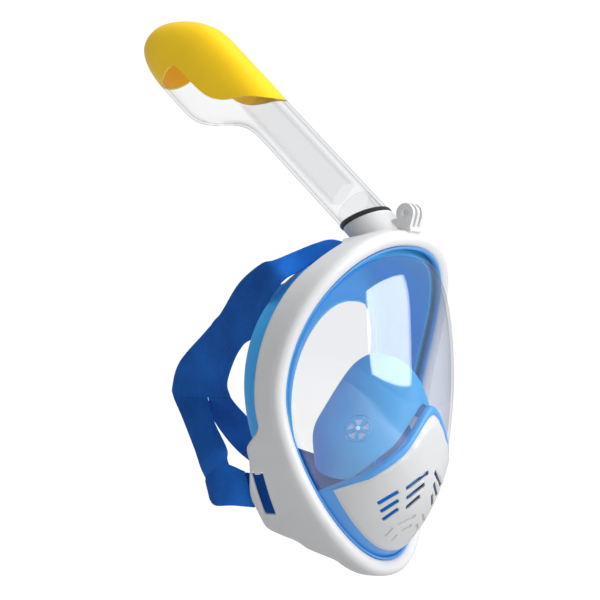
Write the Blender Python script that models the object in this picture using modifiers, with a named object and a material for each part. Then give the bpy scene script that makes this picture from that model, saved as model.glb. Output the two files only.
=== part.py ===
"""Full face snorkel mask: frame, domed lens, silicone skirt, nose cup, mouth
cover with its valves, dry-top snorkel and head straps.

Row frame: metres, +Z up as worn, the mask looks along -Y, X = 0 is its plane
of symmetry. The origin is the middle of the face opening, level with the
widest points of the rim. The wearer's right side is -X.
"""

import math

import bmesh
import bpy
from mathutils import Matrix, Vector

OBJECT_NAME = "full_face_snorkel"
MM = 0.001
TAU = 2.0 * math.pi
GAP = 0.35 * MM                 # clearance between neighbouring solids

# ---------------------------------------------------------------- driving sizes
# Rim: the closed line where the lens meets the frame. Angle 0 is the brow.
RIM_WIDTH = 174.0 * MM
RIM_HEIGHT = 231.0 * MM
RIM_EGG = 0.214                 # the brow is this much wider than the middle
RIM_POWER = 0.90
RIM_SWEEP_BROW = 50.0 * MM      # how far the brow stands in front of the temples
RIM_SWEEP_CHIN = 30.5 * MM
RIM_SWEEP_POWER = 1.67
RIM_STATIONS = 60
ROUND = 24                      # sides of a round section

# Frame wall: depth behind the rim, by angle from the brow.
WALL_DEPTH_MM = ((0, 46), (12, 33), (26, 16), (48, 20), (96, 15), (105, 32),
                 (126, 48.5), (136, 51), (145, 30), (156, 12), (180, 10.5))
WALL_OUT = 13.0 * MM            # outer face of the wall, outside the rim
WALL_IN = 10.3 * MM
HOOD_DROP = 6.0 * MM            # the brow's wall falls this much to the back
HOOD_ANGLE = 26.0
CLAMP_DEPTH = 9.2 * MM

# Lens and mouth cover share one dome.
DOME_DEPTH = 72.0 * MM
DOME_BOW_X = 4.5                # curvature terms, 1/m
DOME_BOW_Z = 0.6
DOME_POWER = 6.0
DOME_POWER_TILT = 2.5
LENS_EDGE = -1.3 * MM
LENS_WALL = 2.2 * MM
COVER_PROUD = 3.5 * MM
COVER_WALL = 2.4 * MM
COVER_INSET = 5.5 * MM          # cover's lower edge inside the rim
SEAL_BAND = 4.5 * MM            # height of the band above the cover
COVER_CORNER = math.radians(124.0)
COVER_TOP_MM = ((0, -5.5), (6, -8), (12, -13.5), (21, -24), (30, -35), (41, -45.5), (50, -55))

# Face opening and skirt.
OPENING_HALF_WIDTH = 54.0 * MM
OPENING_HALF_HEIGHT = 82.0 * MM
OPENING_CENTRE_Z = -5.0 * MM
SKIRT_WALL = 2.2 * MM
BEAD_FRONT = 2.95 * MM          # the clamped bead, behind the lens flange
BEAD_BACK = 5.5 * MM

# Snorkel: a straight tube tilted back from the vertical.
TUBE_TILT = math.radians(47.0)
TUBE_FOOT = Vector((0.0, -14.1 * MM, 137.4 * MM))
TUBE_RADIUS = 17.7 * MM
TUBE_WALL = 2.1 * MM
JOINT_SLOPE = 0.466             # the joint plane is cut across the axis
TUBE_START = 4.2 * MM

# Action-camera mount: three fingers.
FINGER = 3.0 * MM
FINGER_PITCH = 6.1 * MM
FINGER_EYE = Vector((0.0, -53.0 * MM, 140.4 * MM))
FINGER_EYE_RADIUS = 7.5 * MM
FINGER_BOLT_RADIUS = 2.6 * MM

WHITE = (0.86, 0.87, 0.88, 1.0)
CLEAR = (0.80, 0.88, 0.95, 1.0)
BLUE = (0.09, 0.33, 0.78, 1.0)
STRAP_BLUE = (0.02, 0.14, 0.55, 1.0)
YELLOW = (0.93, 0.72, 0.04, 1.0)
BLACK = (0.03, 0.03, 0.03, 1.0)
FOAM = (0.90, 0.90, 0.86, 1.0)


# ---------------------------------------------------------------- scene helpers
def clear_scene():
    for old in list(bpy.data.objects):
        bpy.data.objects.remove(old, do_unlink=True)


def collection(name):
    made = bpy.data.collections.new(name)
    bpy.context.scene.collection.children.link(made)
    return made


def material(name, colour, roughness, metallic=0.0, transmission=0.0):
    made = bpy.data.materials.new(name)
    made.use_nodes = True
    shader = made.node_tree.nodes["Principled BSDF"]
    shader.inputs["Base Color"].default_value = colour
    shader.inputs["Roughness"].default_value = roughness
    shader.inputs["Metallic"].default_value = metallic
    shader.inputs["Transmission Weight"].default_value = transmission
    made.diffuse_color = colour
    return made


clear_scene()
PARTS = collection(OBJECT_NAME)
CUTTERS = collection("cutters")
MATERIALS = {
    "white_plastic": material("white_plastic", WHITE, 0.32),
    "clear_plastic": material("clear_plastic", CLEAR, 0.05, transmission=1.0),
    "blue_silicone": material("blue_silicone", BLUE, 0.45),
    "strap_fabric": material("strap_fabric", STRAP_BLUE, 0.85),
    "yellow_plastic": material("yellow_plastic", YELLOW, 0.30),
    "black_rubber": material("black_rubber", BLACK, 0.50),
    "white_silicone": material("white_silicone", WHITE, 0.50),
    "float_foam": material("float_foam", FOAM, 0.80),
}


def add_mesh(name, verts, faces, material_name, group=None, smooth=True):
    """An object from points and faces, with its faces turned outward."""
    mesh = bpy.data.meshes.new(name)
    mesh.from_pydata([tuple(v) for v in verts], [], faces)
    work = bmesh.new()
    work.from_mesh(mesh)
    bmesh.ops.recalc_face_normals(work, faces=work.faces)
    work.to_mesh(mesh)
    work.free()
    if smooth:
        mesh.shade_smooth()
        mesh.set_sharp_from_angle(angle=math.radians(35.0))
    made = bpy.data.objects.new(name, mesh)
    if group is CUTTERS:
        made.hide_render = True
        made.display_type = "WIRE"
    else:
        mesh.materials.append(MATERIALS[material_name])
    (group or PARTS).objects.link(made)
    return made


def boolean(target, other, operation):
    step = target.modifiers.new(operation.lower(), "BOOLEAN")
    step.operation = operation
    step.object = other
    step.solver = "EXACT"
    return step


def solidify(target, thickness, offset):
    step = target.modifiers.new("wall", "SOLIDIFY")
    step.thickness = thickness
    step.offset = offset
    step.use_even_offset = True
    return step


def lathe(name, profile, place, material_name, group=None, segments=ROUND):
    """A turned piece: profile points are (radius, height), closed, round local Z."""
    verts = []
    faces = []
    count = len(profile)
    for i in range(segments):
        angle = TAU * i / segments
        for radius, height in profile:
            point = Vector((radius * math.cos(angle), radius * math.sin(angle), height))
            verts.append(place @ point)
        for j in range(count):
            here = i * count
            there = (i + 1) % segments * count
            faces.append((here + j, here + (j + 1) % count, there + (j + 1) % count, there + j))
    return add_mesh(name, verts, faces, material_name, group)


def cylinder(name, radius, low, high, place, material_name, group=None, segments=ROUND):
    """A solid cylinder from low to high along the local Z of place."""
    mesh = bpy.data.meshes.new(name)
    work = bmesh.new()
    middle = Matrix.Translation((0.0, 0.0, (low + high) / 2.0))
    bmesh.ops.create_cone(work, cap_ends=True, segments=segments, radius1=radius,
                          radius2=radius, depth=high - low, matrix=place @ middle)
    work.to_mesh(mesh)
    work.free()
    mesh.shade_smooth()
    mesh.set_sharp_from_angle(angle=math.radians(35.0))
    made = bpy.data.objects.new(name, mesh)
    if group is CUTTERS:
        made.hide_render = True
        made.display_type = "WIRE"
    else:
        mesh.materials.append(MATERIALS[material_name])
    (group or PARTS).objects.link(made)
    return made


def block(name, place, size, group=CUTTERS, material_name=None):
    """A box of the given size centred on the matrix place."""
    corners = [Vector((sx * size[0], sy * size[1], sz * size[2])) * 0.5
               for sx in (-1, 1) for sy in (-1, 1) for sz in (-1, 1)]
    faces = [(0, 1, 3, 2), (4, 6, 7, 5), (0, 4, 5, 1), (2, 3, 7, 6), (0, 2, 6, 4), (1, 5, 7, 3)]
    return add_mesh(name, [place @ c for c in corners], faces, material_name, group, smooth=False)


def loft(name, loops, material_name, group=None, closed=False, smooth=True):
    """Skin between closed loops of equal length. Open lofts get flat end caps."""
    count = len(loops[0])
    verts = [point for loop in loops for point in loop]
    faces = []
    pairs = len(loops) if closed else len(loops) - 1
    for i in range(pairs):
        here = i * count
        there = (i + 1) % len(loops) * count
        for j in range(count):
            faces.append((here + j, here + (j + 1) % count, there + (j + 1) % count, there + j))
    if not closed:
        faces.append(tuple(range(count)))
        faces.append(tuple(range((len(loops) - 1) * count, len(loops) * count)))
    return add_mesh(name, verts, faces, material_name, group, smooth)


def prism(name, outline, axis, low, high, material_name=None, group=CUTTERS):
    """An outline of (a, b) pairs extruded along X (a, b = y, z) or Y (a, b = x, z)."""
    if axis == "X":
        loops = [[Vector((depth, a, b)) for a, b in outline] for depth in (low, high)]
    else:
        loops = [[Vector((a, depth, b)) for a, b in outline] for depth in (low, high)]
    return loft(name, loops, material_name, group, smooth=False)


def spline(points, steps):
    """Catmull-Rom curve through points, steps samples on each span."""
    points = [Vector(p) for p in points]
    ends = [2 * points[0] - points[1]] + points + [2 * points[-1] - points[-2]]
    curve = []
    for i in range(1, len(ends) - 2):
        a, b, c, d = ends[i - 1:i + 3]
        for k in range(steps):
            t = k / steps
            curve.append(0.5 * (2 * b + (c - a) * t + (2 * a - 5 * b + 4 * c - d) * t ** 2
                                + (3 * b - a - 3 * c + d) * t ** 3))
    curve.append(points[-1])
    return curve


def table(pairs, x):
    """Smooth interpolation in a table of (x, value) pairs."""
    if x <= pairs[0][0]:
        return pairs[0][1]
    for (x0, y0), (x1, y1) in zip(pairs, pairs[1:]):
        if x <= x1:
            t = (x - x0) / (x1 - x0)
            return y0 + (y1 - y0) * t * t * (3 - 2 * t)
    return pairs[-1][1]


# ---------------------------------------------------------------- rim and dome
def rim(angle):
    c = math.cos(angle)
    s = math.sin(angle)
    x = RIM_WIDTH / 2 * math.copysign(abs(s) ** RIM_POWER, s) * (1 + RIM_EGG * c)
    sweep = RIM_SWEEP_BROW if c > 0 else RIM_SWEEP_CHIN
    return Vector((x, -sweep * abs(c) ** RIM_SWEEP_POWER, RIM_HEIGHT / 2 * c))


def rim_normal(angle):
    """Outward direction in the XZ plane, square to the rim."""
    step = rim(angle + 0.002) - rim(angle - 0.002)
    return Vector((-step.z, 0.0, step.x)).normalized()


def rim_point(angle, out, back=0.0):
    point = rim(angle) + rim_normal(angle) * out
    return point + Vector((0.0, back, 0.0))


def half_angle(angle):
    """Degrees from the brow, 0 to 180 on either side."""
    degrees = math.degrees(angle) % 360.0
    return min(degrees, 360.0 - degrees)


def ring_loops(section, stations=RIM_STATIONS):
    """One loop of (out, back) pairs for each station round the rim."""
    loops = []
    for i in range(stations):
        angle = TAU * i / stations
        loops.append([rim_point(angle, out, back) for out, back in section(angle)])
    return loops


def dome_point(angle, reach, edge=LENS_EDGE):
    """Reach is 1 at the rim and 0 at the middle of the dome."""
    start = rim_point(angle, edge)
    x = reach * start.x
    z = reach * start.z
    power = DOME_POWER + DOME_POWER_TILT * math.cos(angle)
    front = dome_front(x, z)
    return Vector((x, front + (start.y - dome_front(start.x, start.z)) * reach ** power, z))


def dome_front(x, z):
    return -DOME_DEPTH + DOME_BOW_X * x * x + DOME_BOW_Z * z * z


def dome_at(x, z):
    """Height (y) of the dome over a point of the XZ plane."""
    angle = math.atan2(x, z)
    for _ in range(30):
        start = rim_point(angle, LENS_EDGE)
        angle += math.atan2(x, z) - math.atan2(start.x, start.z)
    start = rim_point(angle, LENS_EDGE)
    reach = math.hypot(x, z) / math.hypot(start.x, start.z)
    return dome_point(angle, min(reach, 1.0)).y


def dome_sheet(name, flange, shift, material_name, stations=RIM_STATIONS):
    """The dome as an open sheet, with a flange of the given (out, back) points."""
    reaches = (1.0, 0.97, 0.92, 0.84, 0.70, 0.50, 0.25)
    rows = [[rim_point(TAU * i / stations, out, back) for i in range(stations)]
            for out, back in flange]
    for reach in reaches:
        rows.append([dome_point(TAU * i / stations, reach) for i in range(stations)])
    offset = Vector((0.0, -shift, 0.0))
    verts = [point + offset for row in rows for point in row]
    verts.append(dome_point(0.0, 0.0) + offset)
    faces = []
    for r in range(len(rows) - 1):
        for i in range(stations):
            a = r * stations + i
            b = r * stations + (i + 1) % stations
            faces.append((a, b, b + stations, a + stations))
    last = (len(rows) - 1) * stations
    for i in range(stations):
        faces.append((last + i, last + (i + 1) % stations, len(verts) - 1))
    made = add_mesh(name, verts, faces, material_name)
    if sum(polygon.normal.y for polygon in made.data.polygons) > 0:
        made.data.flip_normals()
    return made


# ---------------------------------------------------------------- frame and lens
def wall_depth(angle):
    return table(WALL_DEPTH_MM, half_angle(angle)) * MM


def frame_section(angle):
    depth = wall_depth(angle)
    drop = HOOD_DROP * max(0.0, 1.0 - half_angle(angle) / HOOD_ANGLE)
    mm = MM
    return [(0.5 * mm, -2.0 * mm), (2.0 * mm, -5.4 * mm), (5.5 * mm, -7.5 * mm),
            (9.4 * mm, -7.0 * mm), (12.2 * mm, -4.0 * mm), (WALL_OUT, 0.5 * mm),
            (WALL_OUT, CLAMP_DEPTH), (WALL_OUT - drop, depth - 0.8 * mm),
            (WALL_OUT - drop - 0.8 * mm, depth), (WALL_IN - drop + 0.4 * mm, depth),
            (WALL_IN, CLAMP_DEPTH), (WALL_IN, -GAP), (0.5 * mm, -GAP)]


def tube_place(along=0.0, behind=0.0, across=0.0):
    """Matrix whose local Z runs up the snorkel and local Y towards its underside."""
    c = math.cos(TUBE_TILT)
    s = math.sin(TUBE_TILT)
    turn = Matrix(((1, 0, 0), (0, c, s), (0, -s, c))).to_4x4()
    return Matrix.Translation(TUBE_FOOT) @ turn @ Matrix.Translation((across, behind, along))


def tube_loop(along, slope, half_x, low, high, power=2.0, count=ROUND):
    """A closed section of the snorkel: half_x across, low to high front to back."""
    place = tube_place()
    loop = []
    for i in range(count):
        angle = TAU * i / count
        c = math.cos(angle)
        s = math.sin(angle)
        x = half_x * math.copysign(abs(c) ** (2 / power), c)
        v = (low + high) / 2 + (high - low) / 2 * math.copysign(abs(s) ** (2 / power), s)
        loop.append(place @ Vector((x, v, along + slope * v)))
    return loop


def ring_loop(along, slope, radius, count=ROUND):
    return tube_loop(along, slope, radius, -radius, radius, count=count)


def make_frame():
    frame = loft("face_frame", ring_loops(frame_section), "white_plastic", closed=True)
    neck = loft("neck_body", [ring_loop(-19.4 * MM, 0.80, 18.2 * MM), ring_loop(-12 * MM, 0.70, 18.2 * MM),
                              ring_loop(-2 * MM, JOINT_SLOPE, 18.2 * MM)], None, CUTTERS)
    bore = loft("neck_bore", [ring_loop(-27 * MM, 0.59, 12.5 * MM), ring_loop(-17.5 * MM, 0.5, 14.6 * MM),
                              ring_loop(3 * MM, JOINT_SLOPE, 14.6 * MM)], None, CUTTERS)
    boolean(frame, neck, "UNION")
    boolean(frame, bore, "DIFFERENCE")
    for side in (-1, 1):
        cut_strap_slot(frame, "upper", side, math.radians(34.0), 31 * MM, 4 * MM, 5.5 * MM)
        cut_strap_slot(frame, "lower", side, math.radians(121.5), 33 * MM, 10.5 * MM, 12.6 * MM)
    return frame


def cut_strap_slot(frame, name, side, angle, length, width, from_back):
    """A window through the frame wall for a strap."""
    angle *= side
    out = rim_normal(angle)
    along = Vector((0, 1, 0)).cross(out)
    back = wall_depth(angle) - from_back
    centre = rim_point(angle, (WALL_IN + WALL_OUT) / 2, back)
    turn = Matrix((along, Vector((0, 1, 0)), out)).transposed().to_4x4()
    window = block(name + ("_slot_left" if side > 0 else "_slot_right"),
                   Matrix.Translation(centre) @ turn, (length, width, 14 * MM))
    boolean(frame, window, "DIFFERENCE")


def cover_outline(grow, inset):
    """Mouth cover seen from the front: a rounded gable over the lower rim."""
    top = [(x * MM, z * MM + grow) for x, z in COVER_TOP_MM]
    right = [(x, z) for x, z in top if x > 0]
    steps = 16
    lower = []
    for i in range(steps + 1):
        angle = COVER_CORNER + (TAU / 2 - COVER_CORNER) * i / steps
        point = rim_point(angle, -inset)
        lower.append((point.x, point.z))
    half = [top[0]] + right + lower
    return half + [(-x, z) for x, z in reversed(half[1:-1])]


def make_lens():
    flange = [(9.3 * MM, 0.0), (4.0 * MM, 0.0)]
    lens = dome_sheet("lens", flange, 0.0, "clear_plastic")
    solidify(lens, LENS_WALL, -1.0)
    hole = prism("lens_hole", cover_outline(SEAL_BAND + GAP, 1.6 * MM), "Y", -0.12, 0.0)
    boolean(lens, hole, "DIFFERENCE")

    seal = dome_sheet("mouth_cover_seal", [], 1.2 * MM, "blue_silicone")
    solidify(seal, 3.6 * MM, -1.0)
    keep = prism("seal_keep", cover_outline(SEAL_BAND, 1.9 * MM), "Y", -0.12, 0.0)
    middle = prism("seal_middle", cover_outline(-GAP, COVER_INSET + GAP), "Y", -0.12, 0.0)
    boolean(seal, keep, "INTERSECT")
    boolean(seal, middle, "DIFFERENCE")

    cover = dome_sheet("mouth_cover", [], COVER_PROUD, "white_plastic", 48)
    solidify(cover, COVER_WALL, -1.0)
    keep = prism("cover_keep", cover_outline(-2 * GAP, COVER_INSET + 2 * GAP), "Y", -0.12, 0.0)
    boolean(cover, keep, "INTERSECT")
    for i, (x0, z0, x1, z1, height) in enumerate(cover_slots()):
        for side in (-1, 1):
            outline = [(side * x0, z0 - height / 2), (side * x1, z1 - height / 2),
                       (side * x1, z1 + height / 2), (side * x0, z0 + height / 2)]
            slot = prism("vent_%d_%s" % (i, "left" if side > 0 else "right"), outline, "Y", -0.1, -0.02)
            boolean(cover, slot, "DIFFERENCE")

    def bead(angle):
        return [(-0.9 * MM, -3.4 * MM), (0.15 * MM, -4.2 * MM), (0.15 * MM, -GAP), (-0.6 * MM, -GAP)]
    loft("lens_edge_seal", ring_loops(bead), "blue_silicone", closed=True)


def cover_slots():
    """Vent slots of one half: (outer x, z, inner x, z, height), metres."""
    rows = []
    for i in range(3):
        drop = 7.6 * MM * i
        shrink = 3.2 * MM * i
        rows.append((38.0 * MM - 4.0 * MM * i, -71.5 * MM - 6.2 * MM * i, 28.5 * MM - 2.5 * MM * i,
                     -62.8 * MM - 6.5 * MM * i, 3.4 * MM))
        rows.append((23.3 * MM - shrink * 0.9, -61.0 * MM - drop * 0.95, 4.2 * MM + shrink * 0.6,
                     -49.5 * MM - drop * 1.15, 3.4 * MM))
    return rows


def make_clamp_ring():
    def section(angle):
        return [(0.5 * MM, 5.9 * MM), (9.9 * MM, 5.9 * MM), (9.9 * MM, 8.8 * MM), (0.5 * MM, 8.8 * MM)]
    loft("clamp_ring", ring_loops(section), "white_plastic", closed=True, smooth=False)


# ---------------------------------------------------------------- skirt and nose cup
def opening_point(angle):
    c = math.cos(angle)
    s = math.sin(angle)
    x = OPENING_HALF_WIDTH * math.copysign(abs(s) ** 0.8, s) * (1 + 0.05 * c)
    pull = 19 * MM if c > 0 else 23 * MM
    return Vector((x, 17 * MM - pull * c * c, OPENING_CENTRE_Z + OPENING_HALF_HEIGHT * c))


def skirt_section(angle):
    """Closed section: clamped bead, side wall, back fold and face flange."""
    bead_out = rim_point(angle, 9.4 * MM)
    start = rim_point(angle, -3.0 * MM)
    edge = opening_point(angle)
    inward = Vector((edge.x - start.x, 0.0, edge.z - start.z))
    reach = inward.length
    inward.normalize()
    c = math.cos(angle)
    back = (40 - (30 if c > 0 else 28) * c * c) * MM
    y0 = start.y + BEAD_BACK
    path = spline([(0, y0, 0), (-0.8 * MM, y0 * 0.45 + back * 0.55, 0), (1.5 * MM, back - 4.5 * MM, 0),
                   (9 * MM, back, 0), (reach - 9 * MM, edge.y + 9 * MM, 0), (reach, edge.y, 0)], 1)
    inner = []
    for i, point in enumerate(path):
        step = path[min(i + 1, len(path) - 1)] - path[max(i - 1, 0)]
        side = Vector((step.y, -step.x, 0)).normalized()
        inner.append(point + side * SKIRT_WALL)
    inner[0] = Vector((SKIRT_WALL, start.y + BEAD_FRONT, 0))
    world = []
    for h, y in [(p.x, p.y) for p in path] + [(p.x, p.y) for p in reversed(inner)]:
        world.append(start + inward * h + Vector((0, y - start.y, 0)))
    top = bead_out + Vector((0, BEAD_FRONT, 0))
    return [bead_out + Vector((0, BEAD_BACK, 0))] + world + [top]


def make_skirt():
    loops = [skirt_section(TAU * i / RIM_STATIONS) for i in range(RIM_STATIONS)]
    loft("face_skirt", loops, "blue_silicone", closed=True)


CUP_FRONT_MM = ((0, 0), (14, -12), (29, -29), (42, -41), (51, -54))
CUP_MIDDLE_MM = ((0, -58, 34), (28, -51, 16), (50, -40, -20), (59, -28, -36), (58, -12, -54))
CUP_BACK_MM = ((0, -22, 37), (18, -14, 28), (36, -2, -2), (42, 4, -20), (40, 4, -44))


def cup_curves(steps):
    """The nose cup's three guide curves, mirrored to run from right to left."""
    front = [(x * MM, dome_at(x * MM, z * MM) + 8.5 * MM, z * MM) for x, z in CUP_FRONT_MM]
    guides = []
    for half in (front, [tuple(c * MM for c in p) for p in CUP_MIDDLE_MM],
                 [tuple(c * MM for c in p) for p in CUP_BACK_MM]):
        left = [(-x, y, z) for x, y, z in reversed(half[1:])]
        guides.append(spline(left + list(half), steps))
    return guides


def cup_point(front, middle, back, t):
    return front * (1 - t) ** 2 + middle * (2 * t * (1 - t)) + back * t * t


def valve_place(side):
    """Matrix on the cup's cheek, local Z out of the cup towards the lens."""
    front, middle, back = cup_curves(4)
    index = len(front) // 2 + side * 8
    place = cup_point(front[index], middle[index], back[index], 0.5)
    along = cup_point(front[index], middle[index], back[index], 0.6) - place
    beside = index + side
    across = cup_point(front[beside], middle[beside], back[beside], 0.5) - place
    out = along.cross(across).normalized()
    if out.y > 0:
        out.negate()
    return Matrix.Translation(place) @ out.to_track_quat("Z", "Y").to_matrix().to_4x4()


def make_nose_cup():
    guides = cup_curves(2)
    columns = len(guides[0])
    rows = 7
    verts = []
    for i in range(columns):
        for j in range(rows):
            verts.append(cup_point(guides[0][i], guides[1][i], guides[2][i], j / (rows - 1)))
    faces = []
    for i in range(columns - 1):
        for j in range(rows - 1):
            a = i * rows + j
            faces.append((a, a + 1, a + rows + 1, a + rows))
    cup = add_mesh("nose_cup", verts, faces, "blue_silicone")
    solidify(cup, 2.0 * MM, 0.0)
    for side, name in ((-1, "right"), (1, "left")):
        place = valve_place(side)
        hole = cylinder("inhale_hole_" + name, 10.9 * MM, -8 * MM, 8 * MM, place, None, CUTTERS)
        boolean(cup, hole, "DIFFERENCE")
        seat = cylinder("inhale_seat_" + name, 10.5 * MM, -1.1 * MM, 1.3 * MM, place, "blue_silicone")
        for k in range(5):
            turn = Matrix.Rotation(TAU * k / 5, 4, "Z") @ Matrix.Translation((5.8 * MM, 0, 0))
            port = cylinder("inhale_port_%s_%d" % (name, k), 2.6 * MM, -4 * MM, 4 * MM, place @ turn,
                            None, CUTTERS, segments=8)
            boolean(seat, port, "DIFFERENCE")
        cylinder("inhale_disc_" + name, 9.4 * MM, -2.3 * MM, -1.5 * MM, place, "white_silicone")


# ---------------------------------------------------------------- purge valve
def purge_place():
    """Behind the vent slots, local Z out through the cover."""
    out = Vector((0.0, -math.cos(math.radians(22)), -math.sin(math.radians(22))))
    centre = Vector((0.0, -56.4 * MM, -69.6 * MM))
    return Matrix.Translation(centre) @ out.to_track_quat("Z", "Y").to_matrix().to_4x4()


def make_purge_valve():
    place = purge_place()
    seat = cylinder("purge_seat", 17.0 * MM, -1.5 * MM, 1.2 * MM, place, "blue_silicone", segments=32)
    for k in range(6):
        turn = Matrix.Rotation(TAU * k / 6, 4, "Z") @ Matrix.Translation((8.0 * MM, 0, 0))
        port = cylinder("purge_port_%d" % k, 3.3 * MM, -6 * MM, 6 * MM, place @ turn, None, CUTTERS,
                        segments=10)
        boolean(seat, port, "DIFFERENCE")
    cylinder("purge_disc", 13.5 * MM, 1.6 * MM, 2.5 * MM, place, "blue_silicone")


# ---------------------------------------------------------------- snorkel
HEAD_SECTIONS_MM = (
    # along, front, back, half width, squareness
    (60, -17.7, 17.7, 17.7, 2.0), (112, -17.7, 17.7, 17.7, 2.0), (124, -17.8, 18.2, 18.0, 2.05),
    (134, -17.9, 20.5, 18.6, 2.1), (145, -18.0, 26.0, 19.2, 2.2), (156, -18.0, 34.5, 19.6, 2.3),
    (166, -18.0, 42.5, 19.9, 2.4), (175, -18.0, 47.5, 20.0, 2.5), (186, -18.0, 49.8, 20.0, 2.5),
    (205, -17.8, 50.0, 20.0, 2.5), (218, -15.5, 50.0, 20.0, 2.5), (230, -10.6, 49.5, 19.8, 2.4),
    (241, -3.6, 47.8, 19.0, 2.3), (250, 4.2, 44.6, 17.0, 2.2), (255.5, 10.5, 40.8, 14.0, 2.1),
    (258.5, 17.5, 35.0, 9.5, 2.0))


def head_loops(inset):
    loops = []
    for along, front, back, half, power in HEAD_SECTIONS_MM:
        shrink = inset if along < 250 else inset * 1.15
        lower = 0.0 if along < 230 else inset * (along - 230) / 28.5
        loops.append(tube_loop(along * MM - lower, 0.0, half * MM - shrink, front * MM + shrink,
                               back * MM - shrink, power))
    return loops


def make_snorkel():
    outer = [ring_loop(TUBE_START, JOINT_SLOPE, TUBE_RADIUS)] + head_loops(0.0)
    inner = [ring_loop(TUBE_START, JOINT_SLOPE, TUBE_RADIUS - TUBE_WALL)] + head_loops(TUBE_WALL)
    loops = list(reversed(outer)) + inner
    tube = loft("snorkel_tube", loops, "clear_plastic")
    cap = loft("top_cap", loops, "yellow_plastic")

    def seam(grow):
        """Outline of the cap in the snorkel's side view, as (along, behind)."""
        edge = [(118, -24), (122, -18.2), (140, -5), (150, 5.5), (160, 14.5), (172, 20), (188, 21.8),
                (208, 22), (215, 24), (218.5, 31), (220, 42), (224, 60)]
        moved = [(a * MM + grow, v * MM - grow * 0.7) for a, v in edge]
        return moved + [(290 * MM, 60 * MM), (290 * MM, -40 * MM), (118 * MM + grow, -40 * MM)]

    def seam_prism(name, grow):
        place = tube_place()
        loops = [[place @ Vector((x, v, a)) for a, v in seam(grow)] for x in (-40 * MM, 40 * MM)]
        return loft(name, loops, None, CUTTERS, smooth=False)

    boolean(cap, seam_prism("cap_keep", GAP), "INTERSECT")
    boolean(tube, seam_prism("cap_room", 0.0), "DIFFERENCE")
    place = tube_place(158 * MM, 38 * MM)
    slant = Matrix.Rotation(math.radians(-40), 4, "X")
    for side in (-1, 1):
        shift = Matrix.Translation((side * 6.2 * MM, 0, 0))
        window = block("intake_%s" % ("left" if side > 0 else "right"), place @ shift @ slant,
                       (8 * MM, 16 * MM, 16 * MM))
        boolean(tube, window, "DIFFERENCE")


def hollow_ring(name, stations, inner_stations, material_name):
    """A sleeve from outer and inner (along, slope, radius) stations, bottom to top."""
    loops = [ring_loop(a * MM, s, r * MM) for a, s, r in stations]
    loops += [ring_loop(a * MM, s, r * MM) for a, s, r in reversed(inner_stations)]
    return loft(name, loops, material_name, closed=True)


def make_snorkel_inside():
    hollow_ring("neck_seal", [(-1.6, 0.466, 17.6), (-0.9, 0.466, 18.4), (2.9, 0.466, 18.4),
                              (3.7, 0.466, 17.6)],
                [(-1.6, 0.466, 15.2), (3.7, 0.466, 15.2)], "black_rubber")
    hollow_ring("tube_coupler", [(-16, 0.0, 14.2), (4.0, 0.466, 14.2), (4.6, 0.466, 15.3), (24, 0.0, 15.3)],
                [(-16, 0.0, 12.4), (4.0, 0.466, 12.4), (24, 0.0, 13.4)], "clear_plastic")
    outer = [tube_loop(a * MM, 0.0, 8.0 * MM, -11.0 * MM, 11.0 * MM, 5.0, 24) for a in (26, 90, 150)]
    inner = [tube_loop(a * MM, 0.0, 6.6 * MM, -9.6 * MM, 9.6 * MM, 5.0, 24) for a in (150, 90, 26)]
    loft("air_duct", outer + inner, "clear_plastic", closed=True)
    place = tube_place(0.0, 3.0 * MM)
    lathe("float_seat", [(7.0 * MM, 221 * MM), (12.0 * MM, 221 * MM), (12.0 * MM, 223.2 * MM),
                         (7.0 * MM, 223.2 * MM)], place, "clear_plastic")
    cylinder("float_body", 10.5 * MM, 184 * MM, 211.5 * MM, place, "float_foam")
    cylinder("float_pad", 9.5 * MM, 212 * MM, 214 * MM, place, "white_silicone")
    lathe("float_cage", [(11.6 * MM, 176 * MM), (12.8 * MM, 176 * MM), (12.8 * MM, 220.4 * MM),
                         (11.6 * MM, 220.4 * MM)], place, "clear_plastic")


# ---------------------------------------------------------------- camera mount
def make_camera_mount():
    """A foot over the frame's bead in front of the neck, with three fingers."""
    foot = [(-50.8, 129.0), (-54.2, 128.2), (-57.5, 125.6), (-58.6, 126.6), (-58.2, 129.6), (-56.6, 131.6),
            (-50.9, 131.6)]
    base = prism("camera_mount", [(y * MM, z * MM) for y, z in foot], "X", -9.5 * MM, 9.5 * MM,
                 "white_plastic", PARTS)
    eye = FINGER_EYE
    outline = []
    for i in range(12):
        angle = math.radians(190 - 20 * i)
        outline.append((eye.y + FINGER_EYE_RADIUS * math.cos(angle),
                        eye.z + FINGER_EYE_RADIUS * math.sin(angle)))
    outline += [(-49.6 * MM, 131.8 * MM), (-50.7 * MM, 130.2 * MM), (-56.5 * MM, 130.2 * MM)]
    turn = Matrix.Rotation(math.radians(90), 4, "Y")
    bolt = cylinder("finger_bolt", FINGER_BOLT_RADIUS, -30 * MM, 30 * MM,
                    Matrix.Translation(eye) @ turn, None, CUTTERS, segments=20)
    for k in (-1, 0, 1):
        middle = k * FINGER_PITCH
        finger = prism("finger_%d" % (k + 1), outline, "X", middle - FINGER / 2, middle + FINGER / 2)
        boolean(base, finger, "UNION")
    boolean(base, bolt, "DIFFERENCE")


# ---------------------------------------------------------------- head straps
STRAP_THICK = 2.0 * MM
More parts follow.
